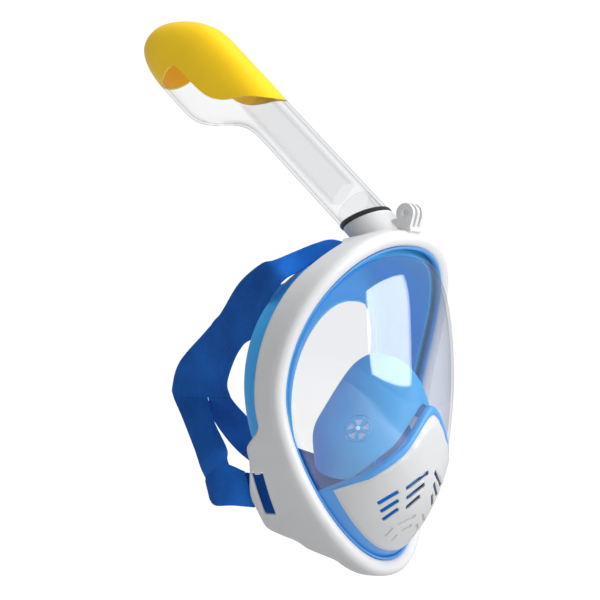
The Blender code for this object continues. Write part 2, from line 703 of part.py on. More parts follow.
# Each row is a strap's two edges in mm: the back or upper one, then the front or lower one.
UPPER_EDGES_MM = (
    ((-34, 9, 119), (-44, 4, 104)), ((-45, 18.8, 113), (-56, 6, 98)), ((-60, 27, 106), (-76, 6, 90.5)),
    ((-62, 38, 103.5), (-74, 20, 78)), ((-58, 62, 90), (-66, 36, 63)), ((-48, 88, 68), (-58, 50, 50)),
    ((-40, 108, 56), (-53, 62, 44)))
PAD_EDGES_MM = (
    ((-39, 110, 55), (-52, 64, 43)), ((-26, 147, 32), (-42, 80, 32)), ((-20, 160, 12), (-34, 93, 15)),
    ((-21, 158, 4), (-25, 97, 4)))
LOWER_EDGES_MM = (
    ((-21, 157.5, 2), (-26, 121, 1)), ((-24, 146, -13), (-32, 108, -14)), ((-36, 124, -36), (-46, 84, -34)),
    ((-52, 103, -52), (-60, 72, -42)), ((-66, 82, -62), (-72, 58, -50)), ((-70, 60, -70), (-80, 50, -50)),
    ((-66, 40, -76), (-79.4, 40, -50)), ((-58, 33, -81.5), (-75, 33, -50.5)),
    ((-56.5, 17, -81.5), (-73.7, 17, -50.5)))
FREE_END_EDGES_MM = (
    ((-82, 37.8, -49), (-70, 37.8, -76)), ((-90, 50, -43.5), (-81, 50, -74.5)),
    ((-91, 62, -49.5), (-82, 65, -75)), ((-84, 73, -56), (-77, 74, -71)))
FAR_LOWER_EDGES_MM = (
    ((-24, 120, 1), (-25, 98, 2)), ((-10, 126, -14), (-10, 90, -13)), ((12, 112, -44), (12, 86, -27)),
    ((44, 84, -68), (46, 66, -42)), ((70, 54, -80), (86, 48, -50)), ((66, 40, -76), (79.4, 40, -50)),
    ((58, 33, -81.5), (75, 33, -50.5)), ((56.5, 17, -81.5), (73.7, 17, -50.5)))
FAR_UPPER_EDGES_MM = (
    ((-36, 111, 56), (-48, 66, 46)), ((-8, 118, 70), (-20, 92, 44)), ((28, 92, 92), (24, 78, 64)),
    ((56, 58, 106), (60, 46, 80)), ((60, 27, 106), (76, 6, 90.5)), ((45, 18.8, 113), (56, 6, 98)),
    ((34, 9, 119), (44, 4, 104)))


def ribbon(name, edges, steps, thickness=STRAP_THICK):
    """A flat strap between two edge lines, as a closed thin solid."""
    first = spline([Vector(a) * MM for a, _ in edges], steps)
    second = spline([Vector(b) * MM for _, b in edges], steps)
    loops = []
    for i in range(len(first)):
        step = first[min(i + 1, len(first) - 1)] - first[max(i - 1, 0)]
        step += second[min(i + 1, len(first) - 1)] - second[max(i - 1, 0)]
        face = step.cross(second[i] - first[i]).normalized() * thickness / 2
        loops.append([first[i] - face, second[i] - face, second[i] + face, first[i] + face])
    return loft(name, loops, "strap_fabric")


def make_straps():
    ribbon("strap_upper_right", UPPER_EDGES_MM, 4)
    ribbon("strap_back_pad", PAD_EDGES_MM, 4, 2.6 * MM)
    ribbon("strap_lower_right", LOWER_EDGES_MM, 3)
    ribbon("strap_free_end_right", FREE_END_EDGES_MM, 3)
    ribbon("strap_lower_left", FAR_LOWER_EDGES_MM, 4)
    ribbon("strap_upper_left", FAR_UPPER_EDGES_MM, 4)


make_frame()
make_lens()
make_clamp_ring()
make_skirt()
make_nose_cup()
make_purge_valve()
make_snorkel()
make_snorkel_inside()
make_camera_mount()
make_straps()
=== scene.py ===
import math

import bmesh
import bpy
from mathutils import Matrix, Vector
from mathutils.geometry import delaunay_2d_cdt


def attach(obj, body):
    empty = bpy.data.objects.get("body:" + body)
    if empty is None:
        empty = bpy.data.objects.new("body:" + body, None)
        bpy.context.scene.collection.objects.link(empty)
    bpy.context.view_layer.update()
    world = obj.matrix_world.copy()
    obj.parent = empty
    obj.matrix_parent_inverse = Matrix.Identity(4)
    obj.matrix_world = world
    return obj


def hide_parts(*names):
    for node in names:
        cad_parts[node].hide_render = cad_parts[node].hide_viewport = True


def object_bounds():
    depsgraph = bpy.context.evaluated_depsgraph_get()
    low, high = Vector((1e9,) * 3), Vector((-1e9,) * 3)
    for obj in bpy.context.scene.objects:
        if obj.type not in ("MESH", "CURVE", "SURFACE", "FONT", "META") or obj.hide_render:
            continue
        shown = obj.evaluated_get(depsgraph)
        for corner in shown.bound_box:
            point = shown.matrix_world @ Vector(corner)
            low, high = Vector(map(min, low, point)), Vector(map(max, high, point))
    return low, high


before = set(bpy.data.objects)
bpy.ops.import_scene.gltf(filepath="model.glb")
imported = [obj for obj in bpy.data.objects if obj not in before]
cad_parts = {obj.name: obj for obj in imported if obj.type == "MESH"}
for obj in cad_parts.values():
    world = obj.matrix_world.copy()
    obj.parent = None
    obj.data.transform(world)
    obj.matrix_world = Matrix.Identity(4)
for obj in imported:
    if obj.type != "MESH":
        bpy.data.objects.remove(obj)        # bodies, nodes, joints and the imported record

# The looks of a full face snorkel mask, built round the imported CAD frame.
# Metres, +Z up, the mask looks along -Y and X = 0 is its plane of symmetry.
# The rim, dome, skirt, cup and snorkel follow the CAD's own formulas, with
# more points, rounded edges and the small details that the CAD leaves out.

CAD_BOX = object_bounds()
MM = 0.001
TAU = 2.0 * math.pi

# ---- driving sizes
RIM_WIDTH = 174.0 * MM
RIM_HEIGHT = 231.0 * MM
RIM_EGG = 0.214
RIM_POWER = 0.90
RIM_SWEEP_BROW = 50.0 * MM
RIM_SWEEP_CHIN = 30.5 * MM
RIM_SWEEP_POWER = 1.67
WALL_DEPTH_MM = ((0, 46), (12, 33), (26, 16), (48, 20), (96, 15), (105, 32),
                 (126, 48.5), (136, 51), (145, 30), (156, 12), (180, 10.5))
WALL_OUT = 13.0 * MM
WALL_IN = 10.3 * MM
HOOD_DROP = 6.0 * MM
HOOD_ANGLE = 26.0
CLAMP_DEPTH = 9.2 * MM
GAP = 0.35 * MM

DOME_DEPTH = 72.0 * MM
DOME_BOW_X = 4.5
DOME_BOW_Z = 0.6
DOME_POWER = 6.0
DOME_POWER_TILT = 2.5
LENS_EDGE = -1.3 * MM
LENS_WALL = 2.2 * MM
COVER_PROUD = 3.5 * MM
COVER_WALL = 2.4 * MM
COVER_INSET = 5.5 * MM
SEAL_BAND = 4.5 * MM
COVER_CORNER = math.radians(124.0)
COVER_TOP_MM = ((0, -5.5), (6, -8), (12, -13.5), (21, -24), (30, -35), (41, -45.5), (50, -55))

OPENING_HALF_WIDTH = 54.0 * MM
OPENING_HALF_HEIGHT = 82.0 * MM
OPENING_CENTRE_Z = -5.0 * MM
SKIRT_WALL = 2.2 * MM
BEAD_FRONT = 2.95 * MM
BEAD_BACK = 5.5 * MM

TUBE_TILT = math.radians(47.0)
TUBE_FOOT = Vector((0.0, -14.1 * MM, 137.4 * MM))
TUBE_RADIUS = 17.7 * MM
TUBE_WALL = 2.1 * MM
JOINT_SLOPE = 0.466
TUBE_START = 4.2 * MM
NECK_RADIUS = 18.2 * MM

FINGER = 3.0 * MM
FINGER_PITCH = 6.1 * MM
FINGER_EYE = Vector((0.0, -53.0 * MM, 140.4 * MM))
FINGER_EYE_RADIUS = 7.5 * MM
FINGER_BOLT_RADIUS = 2.6 * MM

STRAP_SLOT_ANGLE = math.radians(121.5)
STRAP_SLOT_FROM_BACK = 12.6 * MM
STRAP_SLOT_LENGTH = 33.0 * MM
STRAP_SLOT_WIDTH = 10.5 * MM
STRAP_THICK = 1.7 * MM

NECK_BORE = 14.6 * MM
PURGE_TILT = math.radians(22.0)
PURGE_CENTRE = Vector((0.0, -56.4 * MM, -69.6 * MM))
CUP_WALL = 2.0 * MM
VENT_HEIGHT = 3.1 * MM
VENT_CORNER = 0.7 * MM
VENT_EDGE = 0.6 * MM
GROOVE_HEIGHT = 2.3 * MM
GROOVE_CORNER = 0.5 * MM
GROOVE_DEPTH = 1.5 * MM
COVER_EDGE = 1.5 * MM
COVER_NET = 1.7 * MM            # spacing of the points that fill the mouth cover
DUCT_START = 31.0 * MM
DUCT_END = 150.0 * MM
FLOAT_OFFSET = 3.0 * MM         # float axis, towards the underside of the tube
CAMERA_DISTANCE = 1.4
FLOOR_GAP = 60.0 * MM           # from the mask's lowest point down to the floor

ROUND = 96                      # sides of a tube section
LATHE_SIDES = 64                # sides of a turned piece
STATIONS = 240                  # stations round the rim
LENS_STATIONS = 180             # stations round the lens
AXIS = 0.02 * MM                # radius that stands for a turned profile's axis


# ---- camera and light
def direction(azimuth, rise):
    """Unit vector out from the mask; azimuth is measured from the front towards +X."""
    level = math.cos(rise)
    return Vector((math.sin(azimuth) * level, -math.cos(azimuth) * level, math.sin(rise)))


def make_camera():
    """Aimed at the origin from the wearer's right front, almost level with it."""
    azimuth = math.radians(-54.95)
    rise = math.radians(1.035)
    back = direction(azimuth, rise)
    camera = bpy.data.objects.new("camera", bpy.data.cameras.new("camera"))
    bpy.context.scene.collection.objects.link(camera)
    camera.location = back * CAMERA_DISTANCE
    camera.rotation_euler = (-back).to_track_quat("-Z", "Y").to_euler()
    camera.data.lens = 111.2
    camera.data.shift_x = -0.0858
    camera.data.shift_y = 0.1723
    bpy.context.scene.camera = camera


def area_light(name, azimuth, rise, distance, size, watts, roll=0.0):
    """A soft box aimed at the mask, with its angles in degrees."""
    out = direction(math.radians(azimuth), math.radians(rise))
    data = bpy.data.lights.new(name, "AREA")
    data.shape = "RECTANGLE"
    data.size, data.size_y = size
    data.energy = watts
    light = bpy.data.objects.new(name, data)
    bpy.context.scene.collection.objects.link(light)
    light.location = out * distance
    turn = (-out).to_track_quat("-Z", "Y") @ Matrix.Rotation(math.radians(roll), 4, "Z").to_quaternion()
    light.rotation_euler = turn.to_euler()
    return light


def make_stage():
    area_light("key_softbox", 8.0, 19.5, 1.05, (0.90, 0.70), 7.4, roll=1.0)
    side = area_light("side_fill", -28.0, 8.0, 1.3, (1.0, 1.0), 3.8)
    side.visible_glossy = False
    sun = bpy.data.lights.new("overhead", "SUN")
    sun.energy = 2.8
    sun.angle = math.radians(50.0)
    above = bpy.data.objects.new("overhead", sun)
    above.rotation_euler = (math.radians(14.0), math.radians(10.0), 0.0)
    above.visible_glossy = False
    bpy.context.scene.collection.objects.link(above)

    world = bpy.data.worlds.new("studio")
    bpy.context.scene.world = world
    world.use_nodes = True
    nodes, links = world.node_tree.nodes, world.node_tree.links
    background = nodes["Background"]
    background.inputs["Color"].default_value = (0.97, 0.98, 1.0, 1.0)
    path = nodes.new("ShaderNodeLightPath")
    fill = nodes.new("ShaderNodeMapRange")
    fill.inputs["To Min"].default_value = 0.19
    fill.inputs["To Max"].default_value = 1.05
    seen = nodes.new("ShaderNodeMath")
    seen.operation = "MULTIPLY_ADD"
    seen.inputs[1].default_value = 0.28
    links.new(path.outputs["Is Glossy Ray"], seen.inputs[0])
    links.new(path.outputs["Is Camera Ray"], seen.inputs[2])
    links.new(seen.outputs[0], fill.inputs["Value"])
    links.new(fill.outputs["Result"], background.inputs["Strength"])

    bpy.context.scene.view_settings.view_transform = "Standard"
    mesh = bpy.data.meshes.new("studio_floor")
    low = CAD_BOX[0][2] - FLOOR_GAP
    half = 9.0
    mesh.from_pydata([(-half, -half, low), (half, -half, low), (half, half, low), (-half, half, low)],
                     [], [(0, 1, 2, 3)])
    floor = bpy.data.objects.new("studio_floor", mesh)
    bpy.context.scene.collection.objects.link(floor)
    mesh.materials.append(floor_paint())


def floor_paint():
    """Pale floor that glows for the camera alone, so that it is as light as the backdrop."""
    made, nodes, links, shader = new_material("floor_paint")
    links.new(ramp(nodes, links, noise(nodes, links, 3.0), (0.50, 0.50, 0.50), (0.54, 0.54, 0.54)),
              shader.inputs["Base Color"])
    shader.inputs["Roughness"].default_value = 0.9
    path = nodes.new("ShaderNodeLightPath")
    shader.inputs["Emission Color"].default_value = (1.0, 1.0, 1.0, 1.0)
    glow = spread(nodes, links, path.outputs["Is Camera Ray"], 0.0, 0.50)
    links.new(glow, shader.inputs["Emission Strength"])
    return made


# ---- materials
def new_material(name):
    made = bpy.data.materials.new(name)
    made.use_nodes = True
    tree = made.node_tree
    return made, tree.nodes, tree.links, tree.nodes["Principled BSDF"]


def noise(nodes, links, scale, detail=3.0):
    source = nodes.new("ShaderNodeTexCoord")
    made = nodes.new("ShaderNodeTexNoise")
    made.inputs["Scale"].default_value = scale
    made.inputs["Detail"].default_value = detail
    links.new(source.outputs["Object"], made.inputs["Vector"])
    return made.outputs["Fac"]


def ramp(nodes, links, factor, low, high, start=0.3, end=0.7):
    made = nodes.new("ShaderNodeValToRGB")
    made.color_ramp.elements[0].position = start
    made.color_ramp.elements[1].position = end
    made.color_ramp.elements[0].color = (*low, 1.0)
    made.color_ramp.elements[1].color = (*high, 1.0)
    links.new(factor, made.inputs["Fac"])
    return made.outputs["Color"]


def spread(nodes, links, factor, low, high):
    made = nodes.new("ShaderNodeMapRange")
    made.inputs["To Min"].default_value = low
    made.inputs["To Max"].default_value = high
    links.new(factor, made.inputs["Value"])
    return made.outputs["Result"]


def bump(nodes, links, height, strength, distance, shader):
    made = nodes.new("ShaderNodeBump")
    made.inputs["Strength"].default_value = strength
    made.inputs["Distance"].default_value = distance
    links.new(height, made.inputs["Height"])
    links.new(made.outputs["Normal"], shader.inputs["Normal"])


def shade(colour, factor):
    return tuple(min(1.0, c * factor) for c in colour)


def plastic(name, colour, roughness, grain=0.06, coat=0.25, subsurface=0.0, glow=0.0,
            radius=(1.0, 1.0, 1.0)):
    """Moulded plastic or silicone: faint clouding, a fine moulded grain, uneven gloss, and glow, which is
    painted light: emission in its own colour that lightens its shade.
    """
    made, nodes, links, shader = new_material(name)
    cloud = noise(nodes, links, 28.0)
    links.new(ramp(nodes, links, cloud, shade(colour, 0.965), shade(colour, 1.02)),
              shader.inputs["Base Color"])
    links.new(spread(nodes, links, noise(nodes, links, 90.0), roughness - 0.05, roughness + 0.05),
              shader.inputs["Roughness"])
    if grain:
        bump(nodes, links, noise(nodes, links, 1400.0, 2.0), grain, 0.0002, shader)
    shader.inputs["Coat Weight"].default_value = coat
    shader.inputs["Coat Roughness"].default_value = 0.12
    shader.inputs["Subsurface Weight"].default_value = subsurface
    shader.inputs["Subsurface Radius"].default_value = radius
    shader.inputs["Subsurface Scale"].default_value = 0.004
    # painted light: the emission in the material's own colour lightens its shaded sides and insides
    shader.inputs["Emission Color"].default_value = (*colour, 1.0)
    shader.inputs["Emission Strength"].default_value = glow
    return made


def clear(name, tint, shine, rim_tint, roughness=0.03, rim_shine=0.6):
    """Clear sheet: looks straight through, with gloss that grows at a grazing angle."""
    made, nodes, links, shader = new_material(name)
    nodes.remove(shader)
    through = nodes.new("ShaderNodeBsdfTransparent")
    edge = nodes.new("ShaderNodeLayerWeight")
    edge.inputs["Blend"].default_value = 0.30
    links.new(ramp(nodes, links, edge.outputs["Facing"], tint, rim_tint, 0.35, 1.0), through.inputs["Color"])
    gloss = nodes.new("ShaderNodeBsdfGlossy")
    links.new(spread(nodes, links, noise(nodes, links, 60.0), roughness, roughness + 0.02),
              gloss.inputs["Roughness"])
    mix = nodes.new("ShaderNodeMixShader")
    graze = nodes.new("ShaderNodeMath")
    graze.operation = "POWER"
    graze.inputs[1].default_value = 3.0
    links.new(edge.outputs["Facing"], graze.inputs[0])
    links.new(spread(nodes, links, graze.outputs[0], shine, rim_shine), mix.inputs["Fac"])
    links.new(through.outputs["BSDF"], mix.inputs[1])
    links.new(gloss.outputs["BSDF"], mix.inputs[2])
    links.new(mix.outputs["Shader"], nodes["Material Output"].inputs["Surface"])
    return made


def webbing(name, colour, light):
    """Woven elastic: ribs and picks, with paler and darker patches."""
    made, nodes, links, shader = new_material(name)
    uv = nodes.new("ShaderNodeTexCoord")
    ribs = nodes.new("ShaderNodeTexWave")
    ribs.bands_direction = "Y"
    ribs.inputs["Scale"].default_value = 200.0
    picks = nodes.new("ShaderNodeTexWave")
    picks.bands_direction = "X"
    picks.inputs["Scale"].default_value = 330.0
    for wave in (ribs, picks):
        wave.inputs["Distortion"].default_value = 0.6
        wave.inputs["Detail Scale"].default_value = 1.5
        links.new(uv.outputs["UV"], wave.inputs["Vector"])
    weave = nodes.new("ShaderNodeMath")
    weave.operation = "MULTIPLY"
    links.new(ribs.outputs["Fac"], weave.inputs[0])
    links.new(picks.outputs["Fac"], weave.inputs[1])
    cloud = nodes.new("ShaderNodeMix")
    cloud.data_type = "RGBA"
    cloud.blend_type = "MULTIPLY"
    cloud.inputs["Factor"].default_value = 0.45
    links.new(ramp(nodes, links, noise(nodes, links, 22.0), shade(colour, 0.85), light, 0.35, 0.75),
              cloud.inputs["A"])
    links.new(ramp(nodes, links, weave.outputs[0], (0.55, 0.55, 0.6), (1, 1, 1), 0.1, 0.6),
              cloud.inputs["B"])
    links.new(cloud.outputs["Result"], shader.inputs["Base Color"])
    shader.inputs["Roughness"].default_value = 0.82
    shader.inputs["Specular IOR Level"].default_value = 0.15
    shader.inputs["Sheen Weight"].default_value = 0.05
    shader.inputs["Sheen Roughness"].default_value = 0.5
    shader.inputs["Sheen Tint"].default_value = (0.2, 0.45, 1.0, 1.0)
    bump(nodes, links, weave.outputs[0], 0.6, 0.0003, shader)
    return made


WHITE = plastic("white_plastic", (0.73, 0.735, 0.745), 0.36, coat=0.12)
SATIN = plastic("white_cover", (0.62, 0.625, 0.635), 0.40, coat=0.10)
# painted glow: emission that lightens the blue silicone's shaded parts
BLUE = plastic("blue_silicone", (0.040, 0.42, 0.86), 0.45, grain=0.08, coat=0.05, subsurface=0.35, glow=0.07,
               radius=(0.3, 0.7, 1.0))
SEAL = plastic("blue_seal", (0.09, 0.33, 0.74), 0.36, grain=0.05, coat=0.1)
# painted glow: emission that lightens the yellow cap's shaded sides and its inside
YELLOW = plastic("yellow_plastic", (0.96, 0.62, 0.006), 0.36, grain=0.03, coat=0.1, glow=0.13)
BLACK = plastic("black_rubber", (0.018, 0.018, 0.02), 0.45, coat=0.1)
# painted glow: emission that lightens the valve petals that lie in shade
PALE = plastic("white_silicone", (0.80, 0.86, 0.95), 0.42, coat=0.1, subsurface=0.3, glow=0.16)
FOAM = plastic("float_foam", (0.82, 0.80, 0.74), 0.8, grain=0.3, coat=0.0)
LENS = clear("lens_clear", (0.985, 0.985, 0.99), 0.12, (0.95, 0.955, 0.96))
TUBE = clear("tube_clear", (0.992, 0.992, 0.992), 0.025, (0.84, 0.84, 0.84))
INNER = clear("inner_clear", (0.98, 0.98, 0.98), 0.03, (0.86, 0.86, 0.86), 0.10, 0.3)
STRAP = webbing("strap_webbing", (0.012, 0.135, 0.58), (0.020, 0.21, 0.82))


# ---- mesh helpers
def piece(name, verts, faces, material, slot, body="mask", nodes=(), sharp=32.0):
    """A mesh object that rides on a body and stands for CAD nodes."""
    mesh = bpy.data.meshes.new(name)
    mesh.from_pydata([tuple(v) for v in verts], [], faces)
    work = bmesh.new()
    work.from_mesh(mesh)
    bmesh.ops.recalc_face_normals(work, faces=work.faces)
    work.to_mesh(mesh)
    work.free()
    made = bpy.data.objects.new(name, mesh)
    bpy.context.scene.collection.objects.link(made)
    dress(made, material, sharp)
    if slot:
        settle(made, body, nodes)
    return made


def dress(obj, material, sharp=32.0):
    obj.data.materials.clear()
    obj.data.materials.append(material)
    obj.data.shade_smooth()
    obj.data.set_sharp_from_angle(angle=math.radians(sharp))


def settle(obj, body, nodes):
    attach(obj, body)
    if nodes:
        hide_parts(*nodes)


def baked(obj):
    """Applies every modifier of an object."""
    view = bpy.context.evaluated_depsgraph_get()
    mesh = bpy.data.meshes.new_from_object(obj.evaluated_get(view))
    obj.modifiers.clear()
    old = obj.data
    obj.data = mesh
    bpy.data.meshes.remove(old)
    return obj


def cut(target, tools, operation="DIFFERENCE"):
    for tool in tools:
        step = target.modifiers.new("cut", "BOOLEAN")
        step.operation = operation
        step.object = tool
        step.solver = "EXACT"
    baked(target)
    for tool in tools:
        bpy.data.objects.remove(tool, do_unlink=True)
    return target


def loft_faces(rows, count, closed_rows):
    faces = []
    for i in range(rows if closed_rows else rows - 1):
        here = i * count
        there = (i + 1) % rows * count
        for j in range(count):
            faces.append((here + j, here + (j + 1) % count, there + (j + 1) % count, there + j))
    return faces


def loft(name, loops, material, slot=None, body="mask", nodes=(), closed=False, sharp=32.0):
    """Skin between closed loops of equal length. Open lofts get end caps."""
    count = len(loops[0])
    faces = loft_faces(len(loops), count, closed)
    if not closed:
        faces.append(tuple(range(count)))
        faces.append(tuple(range((len(loops) - 1) * count, len(loops) * count)))
    return piece(name, [p for loop in loops for p in loop], faces, material, slot, body, nodes, sharp)


def prism(name, outline, axis, low, high):
    """An outline of (a, b) pairs extruded along X (a, b = y, z) or Y (a, b = x, z)."""
    if axis == "X":
        loops = [[Vector((d, a, b)) for a, b in outline] for d in (low, high)]
    else:
        loops = [[Vector((a, d, b)) for a, b in outline] for d in (low, high)]
    return loft(name, loops, WHITE)


def box_tool(place, size):
    corners = [Vector((x * size[0], y * size[1], z * size[2])) * 0.5
               for x in (-1, 1) for y in (-1, 1) for z in (-1, 1)]
    faces = [(0, 1, 3, 2), (4, 6, 7, 5), (0, 4, 5, 1), (2, 3, 7, 6), (0, 2, 6, 4), (1, 5, 7, 3)]
    return piece("tool", [place @ c for c in corners], faces, WHITE, None)


def lathe(name, profile, place, material, slot=None, body="mask", nodes=()):
    """A turned piece: profile points are (radius, height), closed, round local Z."""
    loops = []
    for i in range(LATHE_SIDES):
        angle = TAU * i / LATHE_SIDES
        loops.append([place @ Vector((r * math.cos(angle), r * math.sin(angle), h)) for r, h in profile])
    return loft(name, loops, material, slot, body, nodes, closed=True)


def disc_profile(radius, low, high, edge):
    """Profile of a solid disc with a rounded rim, from its axis out and back."""
    points = [(AXIS, low)]
    for i in range(5):
        a = math.radians(-90 + 22.5 * i)
        points.append((radius - edge + edge * math.cos(a), low + edge + edge * math.sin(a)))
    for i in range(5):
        a = math.radians(22.5 * i)
        points.append((radius - edge + edge * math.cos(a), high - edge + edge * math.sin(a)))
    points.append((AXIS, high))
    return points


def spline(points, steps, closed=False):
    """Catmull-Rom curve through points, steps samples on each span."""
    points = [Vector(p) for p in points]
    if closed:
        ends = [points[-1]] + points + points[:2]
    else:
        ends = [2 * points[0] - points[1]] + points + [2 * points[-1] - points[-2]]
    curve = []
    for i in range(1, len(ends) - 2):
        a, b, c, d = ends[i - 1:i + 3]
        for k in range(steps):
            t = k / steps
            curve.append(0.5 * (2 * b + (c - a) * t + (2 * a - 5 * b + 4 * c - d) * t ** 2
                                + (3 * b - a - 3 * c + d) * t ** 3))
    if not closed:
        curve.append(points[-1])
    return curve


def table(pairs, x):
    if x <= pairs[0][0]:
        return pairs[0][1]
    for (x0, y0), (x1, y1) in zip(pairs, pairs[1:]):
        if x <= x1:
            t = (x - x0) / (x1 - x0)
            return y0 + (y1 - y0) * t * t * (3 - 2 * t)
    return pairs[-1][1]


def arc(centre, radius, start, end, steps):
    """Points (a, b) on an arc, angles in degrees."""
    made = []
    for i in range(steps + 1):
        angle = math.radians(start + (end - start) * i / steps)
        made.append((centre[0] + radius * math.cos(angle), centre[1] + radius * math.sin(angle)))
    return made


# ---- rim and dome
def rim(angle):
    c = math.cos(angle)
    s = math.sin(angle)
    x = RIM_WIDTH / 2 * math.copysign(abs(s) ** RIM_POWER, s) * (1 + RIM_EGG * c)
    sweep = RIM_SWEEP_BROW if c > 0 else RIM_SWEEP_CHIN
    return Vector((x, -sweep * abs(c) ** RIM_SWEEP_POWER, RIM_HEIGHT / 2 * c))


def rim_normal(angle):
    step = rim(angle + 0.002) - rim(angle - 0.002)
    return Vector((-step.z, 0.0, step.x)).normalized()


def rim_point(angle, out, back=0.0):
    return rim(angle) + rim_normal(angle) * out + Vector((0.0, back, 0.0))


def half_angle(angle):
    degrees = math.degrees(angle) % 360.0
    return min(degrees, 360.0 - degrees)


def ring_loops(section):
    loops = []
    for i in range(STATIONS):
        angle = TAU * i / STATIONS
        loops.append([rim_point(angle, out, back) for out, back in section(angle)])
    return loops


def dome_front(x, z):
    return -DOME_DEPTH + DOME_BOW_X * x * x + DOME_BOW_Z * z * z


def dome_point(angle, reach):
    start = rim_point(angle, LENS_EDGE)
    x = reach * start.x
    z = reach * start.z
    power = DOME_POWER + DOME_POWER_TILT * math.cos(angle)
    return Vector((x, dome_front(x, z) + (start.y - dome_front(start.x, start.z)) * reach ** power, z))


def dome_at(x, z):
    """Height (y) of the dome over a point of the XZ plane."""
    angle = math.atan2(x, z)
    for _ in range(12):
        start = rim_point(angle, LENS_EDGE)
        angle += math.atan2(x, z) - math.atan2(start.x, start.z)
    start = rim_point(angle, LENS_EDGE)
    reach = math.hypot(x, z) / math.hypot(start.x, start.z)
    return dome_point(angle, min(reach, 1.0)).y


# ---- frame
def wall_depth(angle):
    return table(WALL_DEPTH_MM, half_angle(angle)) * MM


def frame_section(angle):
    """Rolled bead in front, straight side wall, round back edge."""
    depth = wall_depth(angle)
    drop = HOOD_DROP * max(0.0, 1.0 - half_angle(angle) / HOOD_ANGLE)
    bead = spline([Vector((o * MM, b * MM, 0)) for o, b in
                   ((0.5, -2.0), (2.0, -5.4), (5.5, -7.5), (9.4, -7.0), (12.2, -4.0), (13.0, 0.5))], 5)
    half = (WALL_OUT - WALL_IN) / 2
    back = arc((WALL_OUT - drop - half, depth - half), half, 0, 180, 6)
    return ([(0.5 * MM, -GAP)] + [(p.x, p.y) for p in bead] + [(WALL_OUT, CLAMP_DEPTH)] + back
            + [(WALL_IN, CLAMP_DEPTH), (WALL_IN, -GAP)])


def tube_place(along=0.0, behind=0.0):
    """Local Z runs up the snorkel and local Y towards its underside."""
    c = math.cos(TUBE_TILT)
    s = math.sin(TUBE_TILT)
    turn = Matrix(((1, 0, 0), (0, c, s), (0, -s, c))).to_4x4()
    return Matrix.Translation(TUBE_FOOT) @ turn @ Matrix.Translation((0.0, behind, along))


def tube_loop(along, slope, half_x, low, high, power=2.0, count=ROUND):
    place = tube_place()
    loop = []
    for i in range(count):
        angle = TAU * i / count
        c = math.cos(angle)
        s = math.sin(angle)
        x = half_x * math.copysign(abs(c) ** (2 / power), c)
        v = (low + high) / 2 + (high - low) / 2 * math.copysign(abs(s) ** (2 / power), s)
        loop.append(place @ Vector((x, v, along + slope * v)))
    return loop


def ring_loop(along, slope, radius):
    return tube_loop(along, slope, radius, -radius, radius)


def slot_frame(angle, from_back):
    """Matrix at a strap slot: local X along the rim, Y to the back, Z out."""
    out = rim_normal(angle)
    along = Vector((0, 1, 0)).cross(out)
    centre = rim_point(angle, (WALL_IN + WALL_OUT) / 2, wall_depth(angle) - from_back)
    turn = Matrix((along, Vector((0, 1, 0)), out)).transposed().to_4x4()
    return Matrix.Translation(centre) @ turn


def make_frame():
    body = loft("face_frame_shell", ring_loops(frame_section), WHITE, closed=True)
    neck = loft("neck", [ring_loop(-19.4 * MM, 0.80, NECK_RADIUS), ring_loop(-12 * MM, 0.70, NECK_RADIUS),
                         ring_loop(-1.4 * MM, JOINT_SLOPE, NECK_RADIUS),
                         ring_loop(-0.4 * MM, JOINT_SLOPE, NECK_RADIUS - 0.5 * MM),
                         ring_loop(-0.1 * MM, JOINT_SLOPE, NECK_RADIUS - 1.2 * MM)], WHITE)
    bore = loft("bore", [ring_loop(-27 * MM, 0.59, 12.5 * MM), ring_loop(-17.5 * MM, 0.5, NECK_BORE),
                         ring_loop(3 * MM, JOINT_SLOPE, NECK_BORE)], WHITE)
    cut(body, [neck], "UNION")
    tools = [bore]
    for side in (-1, 1):
        place = slot_frame(side * STRAP_SLOT_ANGLE, STRAP_SLOT_FROM_BACK)
        tools.append(box_tool(place, (STRAP_SLOT_LENGTH, STRAP_SLOT_WIDTH, 14 * MM)))
        for end in (-1, 1):
            notch = Matrix.Translation((-side * 17.0 * MM, end * 3.9 * MM, 0.0))
            tools.append(box_tool(place @ notch, (4.0 * MM, 2.7 * MM, 14 * MM)))
    cut(body, tools)
    step = body.modifiers.new("remesh", "REMESH")
    step.mode = "VOXEL"
    step.voxel_size = 0.72 * MM
    step.use_smooth_shade = True
    step = body.modifiers.new("smooth", "SMOOTH")
    step.factor = 0.5
    step.iterations = 5
    baked(body)
    body.name = "face_frame_shell"
    dress(body, WHITE, 60.0)
    settle(body, "mask", ["face_frame"])


def make_clamp_ring():
    def section(angle):
        return [(0.5 * MM, 5.9 * MM), (9.9 * MM, 5.9 * MM), (9.9 * MM, 8.4 * MM), (9.5 * MM, 8.8 * MM),
                (0.9 * MM, 8.8 * MM), (0.5 * MM, 8.4 * MM)]
    loft("clamp_ring_fine", ring_loops(section), WHITE, "white_plastic", "mask", ["clamp_ring"],
         closed=True)


# ---- lens, seals and mouth cover
def cover_outline(grow, inset, steps=4):
    """Mouth cover from the front: a rounded gable over the lower rim."""
    mirrored = [(-x, z) for x, z in reversed(COVER_TOP_MM[1:])] + list(COVER_TOP_MM)
    top = spline([Vector((x * MM, z * MM + grow, 0)) for x, z in mirrored], steps)
    right = [(p.x, p.y) for p in top[len(top) // 2:-1]]
    count = 34
    lower = []
    for i in range(count + 1):
        angle = COVER_CORNER + (TAU / 2 - COVER_CORNER) * i / count
        point = rim_point(angle, -inset)
        lower.append((point.x, point.z))
    half = right + lower
    return half + [(-x, z) for x, z in reversed(half[1:-1])]


def thicken(sheet, thickness, even=False):
    """Turns a sheet's faces to the front and gives it a wall behind them."""
    if sum(polygon.normal.y for polygon in sheet.data.polygons) > 0:
        sheet.data.flip_normals()
    wall = sheet.modifiers.new("wall", "SOLIDIFY")
    wall.thickness = thickness
    wall.offset = -1.0
    wall.use_even_offset = even
    baked(sheet)


